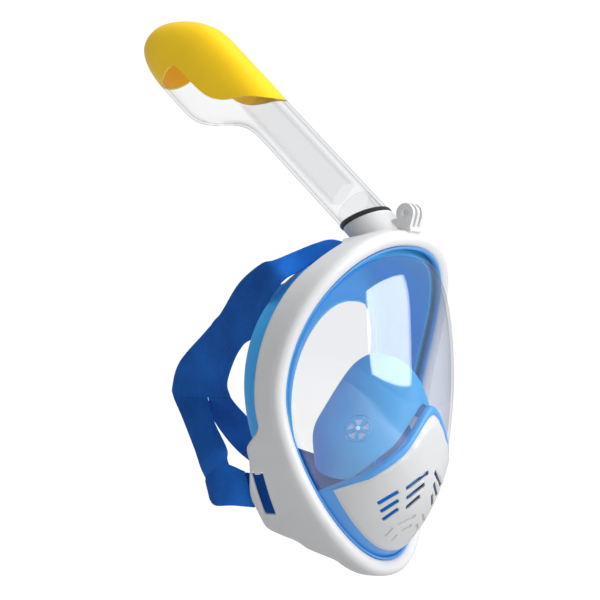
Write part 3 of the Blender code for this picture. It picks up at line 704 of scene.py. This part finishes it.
def make_lens():
    reaches = [1.0, 0.99, 0.98, 0.965, 0.95, 0.93, 0.91, 0.885, 0.86, 0.83, 0.79, 0.74, 0.68, 0.61,
               0.53, 0.44, 0.34, 0.23, 0.12, 0.03]
    angles = [TAU * i / LENS_STATIONS for i in range(LENS_STATIONS)]
    rows = [[rim_point(angle, out * MM) for angle in angles] for out in (9.3, 4.0, 1.2)]
    rows += [[dome_point(angle, reach) for angle in angles] for reach in reaches]
    verts = [p for row in rows for p in row]
    faces = loft_faces(len(rows), LENS_STATIONS, False)
    faces.append(tuple(range((len(rows) - 1) * LENS_STATIONS, len(rows) * LENS_STATIONS)))
    lens = piece("lens_shell", verts, faces, LENS, None)
    thicken(lens, LENS_WALL, even=True)
    cut(lens, [prism("hole", cover_outline(SEAL_BAND - 1.2 * MM, 2.2 * MM), "Y", -0.12, 0.0)])
    dress(lens, LENS, 40.0)
    settle(lens, "mask", ["lens"])


def make_edge_seal():
    """The blue line that shows between the lens and the frame's bead."""
    def section(angle):
        outline = spline([Vector((o * MM, b * MM, 0)) for o, b in
                          ((-1.3, -1.6), (-1.5, -3.4), (-0.8, -4.6), (0.2, -4.8), (0.7, -3.6), (0.3, -0.9),
                           (-0.8, -0.6))], 3, closed=True)
        return [(p.x, p.y) for p in outline]
    loft("lens_edge_seal_fine", ring_loops(section), SEAL, "blue_silicone", "mask", ["lens_edge_seal"],
         closed=True)


def band(name, outer, inner, across, lift, material, slot, nodes):
    """A rounded strip over the dome between two outlines; lift(t) is its height there."""
    loops = []
    for i in range(across + 1):
        t = i / across
        row = []
        for (x0, z0), (x1, z1) in zip(outer, inner):
            x = x0 + (x1 - x0) * t
            z = z0 + (z1 - z0) * t
            row.append(Vector((x, dome_at(x, z) - lift(t), z)))
        loops.append(row)
    under = [[p + Vector((0, 3.4 * MM, 0)) for p in row] for row in (loops[-1], loops[0])]
    verts = [p for row in loops + under for p in row]
    piece(name, verts, loft_faces(len(loops) + 2, len(outer), True), material, slot, "mask", nodes, 50.0)


def make_cover_seal():
    def lift(t):
        return (0.3 + 1.9 * math.sqrt(max(0.0, 1 - (2 * t - 1) ** 2))) * MM
    outer = cover_outline(SEAL_BAND, 0.6 * MM)
    inner = cover_outline(-3 * MM, COVER_INSET + 2 * MM)
    band("mouth_cover_seal_fine", outer, inner, 12, lift, SEAL, "blue_silicone", ["mouth_cover_seal"])


def vent_slots():
    """Centre line ends (outer x, z, inner x, z) in mm of one half's through slots."""
    rows = []
    for i in range(3):
        rows.append((38.0 - 4.0 * i, -71.5 - 6.2 * i, 28.5 - 2.5 * i, -62.8 - 6.5 * i))
        rows.append((23.3 - 2.9 * i, -61.0 - 7.2 * i, 4.2 + 1.9 * i, -49.5 - 8.7 * i))
    return rows


def groove_marks():
    """The same for the short moulded grooves below the slots, which don't go through."""
    return ((17.8, -87.8, 4.4, -81.6), (11.0, -92.8, 3.2, -89.0), (21.8, -96.6, 20.0, -90.0),
            (13.5, -100.6, 13.0, -95.5))


def both_sides(lines):
    """Each line on both halves of the cover."""
    return [(side * x0, z0, side * x1, z1) for x0, z0, x1, z1 in lines for side in (-1, 1)]


def slot_outline(line, height, corner, grow):
    """Rounded oblong round a centre line, in metres."""
    x0, z0, x1, z1 = [v * MM for v in line]
    along = Vector((x1 - x0, z1 - z0))
    half_l = along.length / 2 + grow
    along.normalize()
    across = Vector((-along.y, along.x))
    half_h = height / 2 + grow
    r = min(corner + grow, half_h - 0.01 * MM)
    centre = Vector(((x0 + x1) / 2, (z0 + z1) / 2))
    points = []
    for sx, sy, start in ((1, 1, 0), (-1, 1, 90), (-1, -1, 180), (1, -1, 270)):
        for a, b in arc((sx * (half_l - r), sy * (half_h - r)), r, start, start + 90, 3):
            points.append(tuple(centre + along * a + across * b))
    return points


def inside(point, outline):
    x, z = point
    hit = False
    for (x0, z0), (x1, z1) in zip(outline, outline[1:] + outline[:1]):
        if (z0 > z) != (z1 > z) and x < (x1 - x0) * (z - z0) / (z1 - z0) + x0:
            hit = not hit
    return hit


def distance(point, outline):
    best = 1.0
    x, z = point
    for (x0, z0), (x1, z1) in zip(outline, outline[1:] + outline[:1]):
        dx = x1 - x0
        dz = z1 - z0
        t = max(0.0, min(1.0, ((x - x0) * dx + (z - z0) * dz) / max(dx * dx + dz * dz, 1e-12)))
        best = min(best, math.hypot(x - x0 - dx * t, z - z0 - dz * t))
    return best


def rounded(depth, radius):
    """How far a rounded edge falls at this distance from the edge."""
    if depth >= radius:
        return 0.0
    return radius - math.sqrt(max(0.0, radius * radius - (radius - depth) ** 2))


def cover_net(loops, inner, guards):
    """Triangles between the loops and over a grid that fills the rest of the cover."""
    points = []
    edges = []
    for loop in loops:
        start = len(points)
        points += [Vector(p) for p in loop]
        edges += [(start + i, start + (i + 1) % len(loop)) for i in range(len(loop))]
    for i in range(-40, 41):
        for j in range(-70, 0):
            p = ((i + 0.5 * (j % 2)) * COVER_NET, j * COVER_NET * 0.87)
            if (inside(p, inner) and distance(p, inner) > 0.9 * MM
                    and not any(inside(p, guard) for guard in guards)):
                points.append(Vector(p))
    flat, _, triangles, _, _, _ = delaunay_2d_cdt(points, edges, [], 0, 1e-7)
    return flat, triangles


def cover_fall(point, edge, holes, floors):
    """How far the cover's face lies behind its full height at a point."""
    x, z = point
    fall = rounded(distance(point, edge), COVER_EDGE) if inside(point, edge) else COVER_EDGE
    top_gap = z - table([(a * MM, b * MM) for a, b in COVER_TOP_MM], abs(x))
    width = 11.0 * MM * max(0.0, 1.0 - abs(x) / (48.0 * MM)) + 1.5 * MM
    ease = max(0.0, 1.0 + top_gap / width)
    fall += 2.3 * MM * ease * ease * (3 - 2 * ease) * min(1.0, width / (6 * MM))
    gaps = [distance(point, hole) for hole in holes]
    fall += min((rounded(gap, VENT_EDGE) for gap in gaps if gap < VENT_EDGE), default=0.0)
    if any(inside(point, floor) or distance(point, floor) < 1e-6 for floor in floors):
        fall += GROOVE_DEPTH
    return fall


def make_mouth_cover():
    edge = cover_outline(-0.7 * MM, COVER_INSET + 0.7 * MM)
    rings = [edge]
    for inset in (0.35, 0.9, 1.6, 2.6):
        rings.append(cover_outline((-0.7 - inset * 1.25) * MM, COVER_INSET + (0.7 + inset) * MM))
    slots = [(line, VENT_HEIGHT, VENT_CORNER) for line in both_sides(vent_slots())]
    marks = [(line, GROOVE_HEIGHT, GROOVE_CORNER) for line in both_sides(groove_marks())]
    holes = [slot_outline(*slot, 0.0) for slot in slots]
    lips = [slot_outline(*slot, grow) for slot in slots for grow in (0.3 * MM, 0.7 * MM)]
    floors = [slot_outline(*mark, -0.35 * MM) for mark in marks]
    brims = [slot_outline(*mark, grow) for mark in marks for grow in (0.0, 0.4 * MM)]
    guards = [slot_outline(*cutting, 1.0 * MM) for cutting in slots + marks]
    flat, triangles = cover_net(rings + holes + lips + floors + brims, rings[-1], guards)
    kept = []
    for triangle in triangles:
        middle = sum((flat[i] for i in triangle), Vector((0, 0))) / len(triangle)
        if inside(middle, edge) and not any(inside(middle, hole) for hole in holes):
            kept.append(tuple(triangle))
    verts = []
    for x, z in flat:
        verts.append(Vector((x, dome_at(x, z) - COVER_PROUD + cover_fall((x, z), edge, holes, floors), z)))
    cover = piece("mouth_cover_fine", verts, kept, SATIN, None)
    loose = bmesh.new()
    loose.from_mesh(cover.data)
    bmesh.ops.delete(loose, geom=[v for v in loose.verts if not v.link_faces], context="VERTS")
    loose.to_mesh(cover.data)
    loose.free()
    thicken(cover, COVER_WALL)
    dress(cover, SATIN, 45.0)
    settle(cover, "mask", ["mouth_cover"])


# ---- skirt and nose cup
def opening_point(angle):
    c = math.cos(angle)
    s = math.sin(angle)
    x = OPENING_HALF_WIDTH * math.copysign(abs(s) ** 0.8, s) * (1 + 0.05 * c)
    pull = 19 * MM if c > 0 else 23 * MM
    return Vector((x, 17 * MM - pull * c * c, OPENING_CENTRE_Z + OPENING_HALF_HEIGHT * c))


def skirt_section(angle):
    """Closed section: clamped bead, side wall, back fold and thin face flange."""
    bead_out = rim_point(angle, 9.4 * MM)
    start = rim_point(angle, -3.0 * MM)
    edge = opening_point(angle)
    inward = Vector((edge.x - start.x, 0.0, edge.z - start.z))
    reach = inward.length
    inward.normalize()
    c = math.cos(angle)
    back = (40 - (30 if c > 0 else 28) * c * c) * MM
    y0 = start.y + BEAD_BACK
    path = spline([(0, y0, 0), (-0.8 * MM, y0 * 0.45 + back * 0.55, 0), (1.5 * MM, back - 4.5 * MM, 0),
                   (9 * MM, back, 0), (reach - 9 * MM, edge.y + 9 * MM, 0), (reach, edge.y, 0)], 7)
    inner = []
    last = len(path) - 1
    for i, point in enumerate(path):
        step = path[min(i + 1, last)] - path[max(i - 1, 0)]
        side = Vector((step.y, -step.x, 0)).normalized()
        thick = SKIRT_WALL * (1.0 if i < last * 0.6 else 1.0 - 0.45 * (i / last - 0.6) / 0.4)
        ridge = 0.8 * MM * math.exp(-((i - 8) / 1.6) ** 2)
        inner.append(point + side * (thick + ridge))
    inner[0] = Vector((SKIRT_WALL, start.y + BEAD_FRONT, 0))
    tip = (path[-1] + inner[-1]) / 2 + (path[-1] - path[-2]).normalized() * 0.6 * MM
    world = []
    for h, y in [(p.x, p.y) for p in path] + [(tip.x, tip.y)] + [(p.x, p.y) for p in reversed(inner)]:
        world.append(start + inward * h + Vector((0, y - start.y, 0)))
    return [bead_out + Vector((0, BEAD_BACK, 0))] + world + [bead_out + Vector((0, BEAD_FRONT, 0))]


def make_skirt():
    loops = [skirt_section(TAU * i / STATIONS) for i in range(STATIONS)]
    loft("face_skirt_soft", loops, BLUE, "blue_silicone", "mask", ["face_skirt"], closed=True, sharp=50.0)


CUP_FRONT_MM = ((0, 0), (14, -12), (29, -29), (42, -41), (51, -54))
CUP_MIDDLE_MM = ((0, -58, 34), (28, -51, 16), (50, -40, -20), (59, -28, -36), (58, -12, -54))
CUP_BACK_MM = ((0, -22, 37), (18, -14, 28), (36, -2, -2), (42, 4, -20), (40, 4, -44))


def cup_curves(steps):
    front = [(x * MM, dome_at(x * MM, z * MM) + 8.5 * MM, z * MM) for x, z in CUP_FRONT_MM]
    guides = []
    for half in (front, [tuple(c * MM for c in p) for p in CUP_MIDDLE_MM],
                 [tuple(c * MM for c in p) for p in CUP_BACK_MM]):
        left = [(-x, y, z) for x, y, z in reversed(half[1:])]
        guides.append(spline(left + list(half), steps))
    return guides


def cup_point(front, middle, back, t):
    return front * (1 - t) ** 2 + middle * (2 * t * (1 - t)) + back * t * t


def valve_place(side):
    """Matrix on the cup's cheek, local Z out of the cup towards the lens."""
    front, middle, back = cup_curves(4)
    index = len(front) // 2 + side * 8
    place = cup_point(front[index], middle[index], back[index], 0.5)
    along = cup_point(front[index], middle[index], back[index], 0.6) - place
    beside = index + side
    across = cup_point(front[beside], middle[beside], back[beside], 0.5) - place
    out = along.cross(across).normalized()
    if out.y > 0:
        out.negate()
    return Matrix.Translation(place) @ out.to_track_quat("Z", "Y").to_matrix().to_4x4()


def make_nose_cup():
    guides = cup_curves(12)
    columns = len(guides[0])
    rows = 28
    verts = [cup_point(guides[0][i], guides[1][i], guides[2][i], j / (rows - 1))
             for i in range(columns) for j in range(rows)]
    faces = []
    for i in range(columns - 1):
        for j in range(rows - 1):
            a = i * rows + j
            faces.append((a, a + 1, a + rows + 1, a + rows))
    cup = piece("nose_cup_soft", verts, faces, BLUE, None)
    wall = cup.modifiers.new("wall", "SOLIDIFY")
    wall.thickness = CUP_WALL
    wall.offset = 0.0
    baked(cup)
    drill = [(AXIS, -8 * MM), (10.7 * MM, -8 * MM), (10.7 * MM, 8 * MM), (AXIS, 8 * MM)]
    cut(cup, [lathe("hole", drill, valve_place(side), WHITE) for side in (-1, 1)])
    dress(cup, BLUE, 45.0)
    settle(cup, "mask", ["nose_cup"])


def petal(half_angle_deg, low, high):
    """Outline of one valve port: a rounded wedge between two radii."""
    outer = arc((0, 0), high, -half_angle_deg, half_angle_deg, 6)
    return outer + arc((0, 0), low, half_angle_deg * 0.7, -half_angle_deg * 0.7, 4)


def ported_seat(name, profile, place, material, turns, outline, depth, node):
    """A turned seat with ports cut through it, one at each turn."""
    seat = lathe(name, profile, place, material)
    ports = []
    for angle in turns:
        turn = place @ Matrix.Rotation(angle, 4, "Z")
        loops = [[turn @ Vector((a, b, h)) for a, b in outline] for h in (-depth, depth)]
        ports.append(loft("port", loops, WHITE))
    cut(seat, ports)
    dress(seat, material, 40.0)
    settle(seat, "mask", [node])


def make_inhale_valves():
    turns = [TAU * (k + 0.25) / 5 for k in range(5)]
    for side, name in ((-1, "right"), (1, "left")):
        place = valve_place(side)
        ported_seat("inhale_seat_%s_fine" % name, disc_profile(10.45 * MM, -1.0 * MM, 1.2 * MM, 0.6 * MM),
                    place, BLUE, turns, petal(25.0, 3.1 * MM, 8.4 * MM), 4 * MM, "inhale_seat_" + name)
        lathe("inhale_pin_" + name, disc_profile(1.7 * MM, 1.0 * MM, 2.6 * MM, 0.7 * MM), place, PALE,
              "white_silicone")
        lathe("inhale_disc_%s_fine" % name, disc_profile(9.4 * MM, -2.2 * MM, -1.4 * MM, 0.3 * MM),
              place, PALE, "white_silicone", "inhale_valve_" + name, ["inhale_disc_" + name])


def make_purge_valve():
    out = Vector((0.0, -math.cos(PURGE_TILT), -math.sin(PURGE_TILT)))
    place = Matrix.Translation(PURGE_CENTRE) @ out.to_track_quat("Z", "Y").to_matrix().to_4x4()
    turns = [TAU * k / 6 for k in range(6)]
    ported_seat("purge_seat_fine", disc_profile(17.0 * MM, -1.5 * MM, 1.2 * MM, 0.7 * MM), place, SEAL,
                turns, petal(22.0, 4.0 * MM, 12.0 * MM), 5 * MM, "purge_seat")
    lathe("purge_disc_fine", disc_profile(13.5 * MM, 1.6 * MM, 2.5 * MM, 0.4 * MM), place, SEAL,
          "blue_silicone", "purge_valve", ["purge_disc"])


# ---- snorkel
HEAD_SECTIONS_MM = (
    # along, front, back, half width, squareness
    (60, -17.7, 17.7, 17.7, 2.0), (112, -17.7, 17.7, 17.7, 2.0), (124, -17.8, 18.2, 18.0, 2.05),
    (134, -17.9, 20.5, 18.6, 2.1), (145, -18.0, 26.0, 19.2, 2.2), (156, -18.0, 34.5, 19.6, 2.3),
    (166, -18.0, 42.5, 19.9, 2.4), (175, -18.0, 47.5, 20.0, 2.5), (186, -18.0, 49.8, 20.0, 2.5),
    (205, -17.8, 50.0, 20.0, 2.5), (218, -15.5, 50.0, 20.0, 2.5), (230, -10.6, 49.5, 19.8, 2.4),
    (241, -3.6, 47.8, 19.0, 2.3), (250, 4.2, 44.6, 17.0, 2.2), (255.5, 10.5, 40.8, 14.0, 2.1),
    (258.5, 17.5, 35.0, 9.5, 2.0))
SEAM_MM = ((118, -24), (122, -18.2), (140, -5), (150, 5.5), (160, 14.5), (172, 20), (188, 21.8),
           (208, 22), (215, 24), (218.5, 31), (220, 42), (224, 60))


def head_sections(steps):
    """Smooth sections up the snorkel, with the end rounded over."""
    rows = []
    columns = [spline([Vector((row[0], row[k], 0)) for row in HEAD_SECTIONS_MM], steps) for k in range(1, 5)]
    for front, back, half, power in zip(*columns):
        rows.append((front.x, front.y, back.y, half.y, power.y))
    along, front, back, half, power = rows[-1]
    for t in (0.35, 0.62, 0.82, 0.94):
        shrink = 1 - t
        middle = (front + back) / 2
        reach = (back - front) / 2 * shrink
        rows.append((along + 0.45 * math.sqrt(1 - shrink * shrink), middle - reach, middle + reach,
                     half * shrink, power))
    return rows


def head_loops(inset):
    loops = []
    for along, front, back, half, power in head_sections(5):
        lower = 0.0 if along < 230 else inset * (along - 230) / 28.5
        loops.append(tube_loop(along * MM - lower, 0.0, max(half * MM - inset, 0.4 * MM),
                               min(front * MM + inset, (front + back) / 2 * MM),
                               max(back * MM - inset, (front + back) / 2 * MM + 0.2 * MM), power))
    return loops


def seam_tool(grow):
    edge = spline([Vector((a, v, 0)) for a, v in SEAM_MM], 6)
    moved = [(p.x * MM + grow, p.y * MM - grow * 0.7) for p in edge]
    outline = moved + [(290 * MM, 60 * MM), (290 * MM, -40 * MM), (118 * MM + grow, -40 * MM)]
    place = tube_place()
    loops = [[place @ Vector((x, v, a)) for a, v in outline] for x in (-40 * MM, 40 * MM)]
    return loft("seam", loops, WHITE)


def make_snorkel():
    lip = 0.9 * MM
    start = [ring_loop(TUBE_START, JOINT_SLOPE, TUBE_RADIUS - lip),
             ring_loop(TUBE_START + lip * 0.3, JOINT_SLOPE, TUBE_RADIUS - lip * 0.3),
             ring_loop(TUBE_START + lip, JOINT_SLOPE, TUBE_RADIUS)]
    outer = start + head_loops(0.0)
    inner = [ring_loop(TUBE_START, JOINT_SLOPE, TUBE_RADIUS - TUBE_WALL)] + head_loops(TUBE_WALL)
    loops = list(reversed(outer)) + inner
    tube = loft("snorkel_tube_clear", loops, TUBE)
    cap = loft("top_cap_fine", loops, YELLOW)
    cut(cap, [seam_tool(0.15 * MM)], "INTERSECT")
    place = tube_place(158 * MM, 38 * MM)
    slant = Matrix.Rotation(math.radians(-40), 4, "X")
    tools = [seam_tool(0.0)]
    for side in (-1, 1):
        shift = Matrix.Translation((side * 6.2 * MM, 0, 0))
        tools.append(box_tool(place @ shift @ slant, (8 * MM, 16 * MM, 16 * MM)))
    cut(tube, tools)
    dress(tube, TUBE, 35.0)
    dress(cap, YELLOW, 40.0)
    settle(tube, "snorkel", ["snorkel_tube"])
    settle(cap, "snorkel", ["top_cap"])


def pipe_profile(inner, outer, low, high):
    """Profile of a plain ring or pipe, from sizes in mm."""
    corners = ((inner, low), (outer, low), (outer, high), (inner, high))
    return [(r * MM, h * MM) for r, h in corners]


def sleeve(name, outer, inner, material, slot, nodes):
    """A sleeve from outer and inner (along, slope, radius) stations in mm."""
    loops = [ring_loop(a * MM, s, r * MM) for a, s, r in outer]
    loops += [ring_loop(a * MM, s, r * MM) for a, s, r in reversed(inner)]
    return loft(name, loops, material, slot, "snorkel", nodes, closed=True)


def make_snorkel_inside():
    j = JOINT_SLOPE
    sleeve("neck_seal_fine",
           [(-1.5, j, 16.6), (-1.2, j, 17.6), (-0.4, j, 18.3), (0.9, j, 18.6), (2.4, j, 18.5),
            (3.3, j, 18.0), (3.7, j, 17.0)],
           [(-1.5, j, 15.2), (3.7, j, 15.2)], BLACK, "black_rubber", ["neck_seal"])
    sleeve("tube_coupler_fine", [(-16, 0.0, 14.2), (4.0, j, 14.2), (4.6, j, 15.3), (16, 0.0, 15.3)],
           [(-16, 0.0, 12.4), (4.0, j, 12.4), (16, 0.0, 13.4)], INNER, "clear_plastic", ["tube_coupler"])
    heights = (DUCT_START, 90 * MM, DUCT_END)
    outer = [tube_loop(h, 0.0, 8.0 * MM, -11.0 * MM, 11.0 * MM, 5.0, 64) for h in heights]
    inner = [tube_loop(h, 0.0, 6.6 * MM, -9.6 * MM, 9.6 * MM, 5.0, 64) for h in reversed(heights)]
    loft("air_duct_fine", outer + inner, INNER, "clear_plastic", "snorkel", ["air_duct"], closed=True)
    place = tube_place(0.0, FLOAT_OFFSET)
    lathe("float_seat_fine", pipe_profile(7, 12, 221, 223.2), place, INNER, "clear_plastic", "snorkel",
          ["float_seat"])
    lathe("float_body_fine", disc_profile(10.5 * MM, 184 * MM, 211.5 * MM, 1.5 * MM), place, FOAM,
          "float_foam", "float", ["float_body"])
    lathe("float_pad_fine", disc_profile(9.5 * MM, 212 * MM, 214 * MM, 0.6 * MM), place, PALE,
          "white_silicone", "float", ["float_pad"])
    lathe("float_cage_fine", pipe_profile(11.6, 12.8, 176, 220.4), place, INNER, "clear_plastic",
          "snorkel", ["float_cage"])


# ---- camera mount
def make_camera_mount():
    eye = FINGER_EYE
    head = arc((eye.y, eye.z), FINGER_EYE_RADIUS, 195, -28, 26)
    web = [(-43.0, 136.4), (-41.2, 135.4), (-43.2, 132.6), (-48.6, 128.4), (-52.0, 127.6), (-56.8, 127.4)]
    outline = head + [(y * MM, z * MM) for y, z in web]
    bolt = prism("bolt", arc((eye.y, eye.z), FINGER_BOLT_RADIUS, 0, 352.5, 47), "X", -30 * MM, 30 * MM)
    fingers = []
    for k in (-1, 0, 1):
        middle = k * FINGER_PITCH
        fingers.append(prism("finger", outline, "X", middle - FINGER / 2, middle + FINGER / 2))
    base = [(-50.8, 127.0), (-55.2, 126.4), (-58.2, 127.2), (-58.0, 129.6), (-56.4, 131.2), (-51.0, 130.6)]
    foot = prism("camera_mount_fine", [(y * MM, z * MM) for y, z in base], "X", -7.6 * MM, 7.6 * MM)
    cut(foot, fingers, "UNION")
    cut(foot, [bolt])
    edge = foot.modifiers.new("edge", "BEVEL")
    edge.width = 0.45 * MM
    edge.segments = 3
    edge.limit_method = "ANGLE"
    edge.angle_limit = math.radians(40)
    baked(foot)
    dress(foot, WHITE, 40.0)
    settle(foot, "mask", ["camera_mount"])


# ---- head straps
# Each row is a strap's two edges in mm: the back or upper one, then the front or lower one.
UPPER_EDGES_MM = (
    ((-22, -18, 117), (-36, -22, 108)), ((-24.4, 0, 122), (-38, -6, 108)), ((-34, 9, 119), (-44, 4, 104)),
    ((-45, 18.8, 113), (-56, 6, 98)), ((-60, 27, 106), (-76, 6, 90.5)), ((-62, 38, 103.5), (-74, 20, 78)),
    ((-58, 62, 90), (-66, 36, 63)), ((-48, 88, 68), (-58, 50, 50)))
PAD_EDGES_MM = (
    ((-39, 110, 55), (-52, 64, 43)), ((-26, 147, 32), (-42, 80, 32)), ((-20, 160, 12), (-34, 93, 15)),
    ((-21, 158, 4), (-25, 97, 4)))
SPLIT = 0.60                    # the band divides here, as a share of its width
LOWER_EDGES_MM = (
    ((-24, 146, -13), (-32, 108, -14)), ((-36, 124, -36), (-46, 84, -34)), ((-52, 103, -52), (-60, 72, -42)),
    ((-66, 82, -62), (-72, 58, -50)), ((-70, 60, -70), (-80, 50, -50)), ((-66, 40, -76), (-79.4, 40, -50)),
    ((-58, 33, -81.5), (-75, 33, -50.5)), ((-56.5, 17, -81.5), (-73.7, 17, -50.5)))
FLAP_EDGES_MM = (
    ((-82, 37.8, -49), (-70, 37.8, -76)), ((-90, 50, -43.5), (-81, 50, -74.5)),
    ((-91, 62, -49.5), (-82, 65, -75)), ((-84, 73, -56), (-77, 74, -71)),
    ((-76.5, 71, -54), (-72.5, 70, -68)), ((-74, 62, -50), (-73, 62, -66)))
FAR_LOWER_EDGES_MM = (
    ((-10, 126, -14), (-10, 90, -13)), ((12, 112, -44), (12, 86, -27)), ((44, 84, -68), (46, 66, -42)),
    ((70, 54, -80), (86, 48, -50)), ((66, 40, -76), (79.4, 40, -50)), ((58, 33, -81.5), (75, 33, -50.5)),
    ((56.5, 17, -81.5), (73.7, 17, -50.5)))
FAR_UPPER_EDGES_MM = (
    ((-36, 111, 56), (-48, 66, 46)), ((-8, 118, 70), (-20, 92, 44)), ((28, 92, 92), (24, 78, 64)),
    ((56, 58, 106), (60, 46, 80)), ((60, 27, 106), (76, 6, 90.5)), ((45, 18.8, 113), (56, 6, 98)),
    ((34, 9, 119), (44, 4, 104)), ((24.4, 0, 122), (38, -6, 108)), ((22, -18, 117), (36, -22, 108)))


def ribbon(name, edges, nodes, lead=0):
    """A woven strap between two edge lines, with a thin selvedge and UVs in metres.

    The first lead rows only set the direction in which it starts."""
    steps = 14
    across = 10
    first = spline([Vector(a) * MM for a, _ in edges], steps)[lead * steps:]
    second = spline([Vector(b) * MM for _, b in edges], steps)[lead * steps:]
    loops = []
    runs = [0.0]
    last = len(first) - 1
    for i in range(last + 1):
        step = first[min(i + 1, last)] - first[max(i - 1, 0)]
        step += second[min(i + 1, last)] - second[max(i - 1, 0)]
        face = step.cross(second[i] - first[i]).normalized()
        if i:
            runs.append(runs[-1] + ((first[i] + second[i]) / 2 - (first[i - 1] + second[i - 1]) / 2).length)
        front = []
        back = []
        for j in range(across + 1):
            t = j / across
            middle = first[i].lerp(second[i], t)
            half = STRAP_THICK / 2 * (1.0 if 0 < j < across else 0.45)
            front.append(middle + face * half)
            back.append(middle - face * half)
        loops.append(front + back[::-1])
    made = loft(name, loops, STRAP, "strap_fabric", "mask", nodes, sharp=60.0)
    layer = made.data.uv_layers.new(name="weave")
    width = (first[0] - second[0]).length
    count = len(loops[0])
    for corner in made.data.loops:
        row, column = divmod(corner.vertex_index, count)
        t = column / across if column <= across else (2 * across + 1 - column) / across
        layer.data[corner.index].uv = (runs[row], t * width)
    return made


def mixed(row, low, high):
    """Part of a row of edges, between two shares of its width."""
    a, b = (Vector(v) for v in row)
    return (tuple(a.lerp(b, low)), tuple(a.lerp(b, high)))


def make_straps():
    band = UPPER_EDGES_MM + PAD_EDGES_MM
    ribbon("strap_band_right", band, ["strap_upper_right", "strap_back_pad"])
    before, end = PAD_EDGES_MM[-2:]
    tail = (mixed(before, 0.0, SPLIT), mixed(end, 0.0, SPLIT)) + LOWER_EDGES_MM
    ribbon("strap_lower_right_web", tail, ["strap_lower_right"], lead=1)
    tail = (mixed(before, SPLIT + 0.02, 1.0), mixed(end, SPLIT + 0.02, 1.0)) + FAR_LOWER_EDGES_MM
    ribbon("strap_lower_left_web", tail, ["strap_lower_left"], lead=1)
    ribbon("strap_free_end_web", FLAP_EDGES_MM, ["strap_free_end_right"])
    ribbon("strap_upper_left_web", FAR_UPPER_EDGES_MM, ["strap_upper_left"])


make_camera()
make_stage()
make_frame()
make_clamp_ring()
make_lens()
make_edge_seal()
make_cover_seal()
make_mouth_cover()
make_skirt()
make_nose_cup()
make_inhale_valves()
make_purge_valve()
make_snorkel()
make_snorkel_inside()
make_camera_mount()
make_straps()
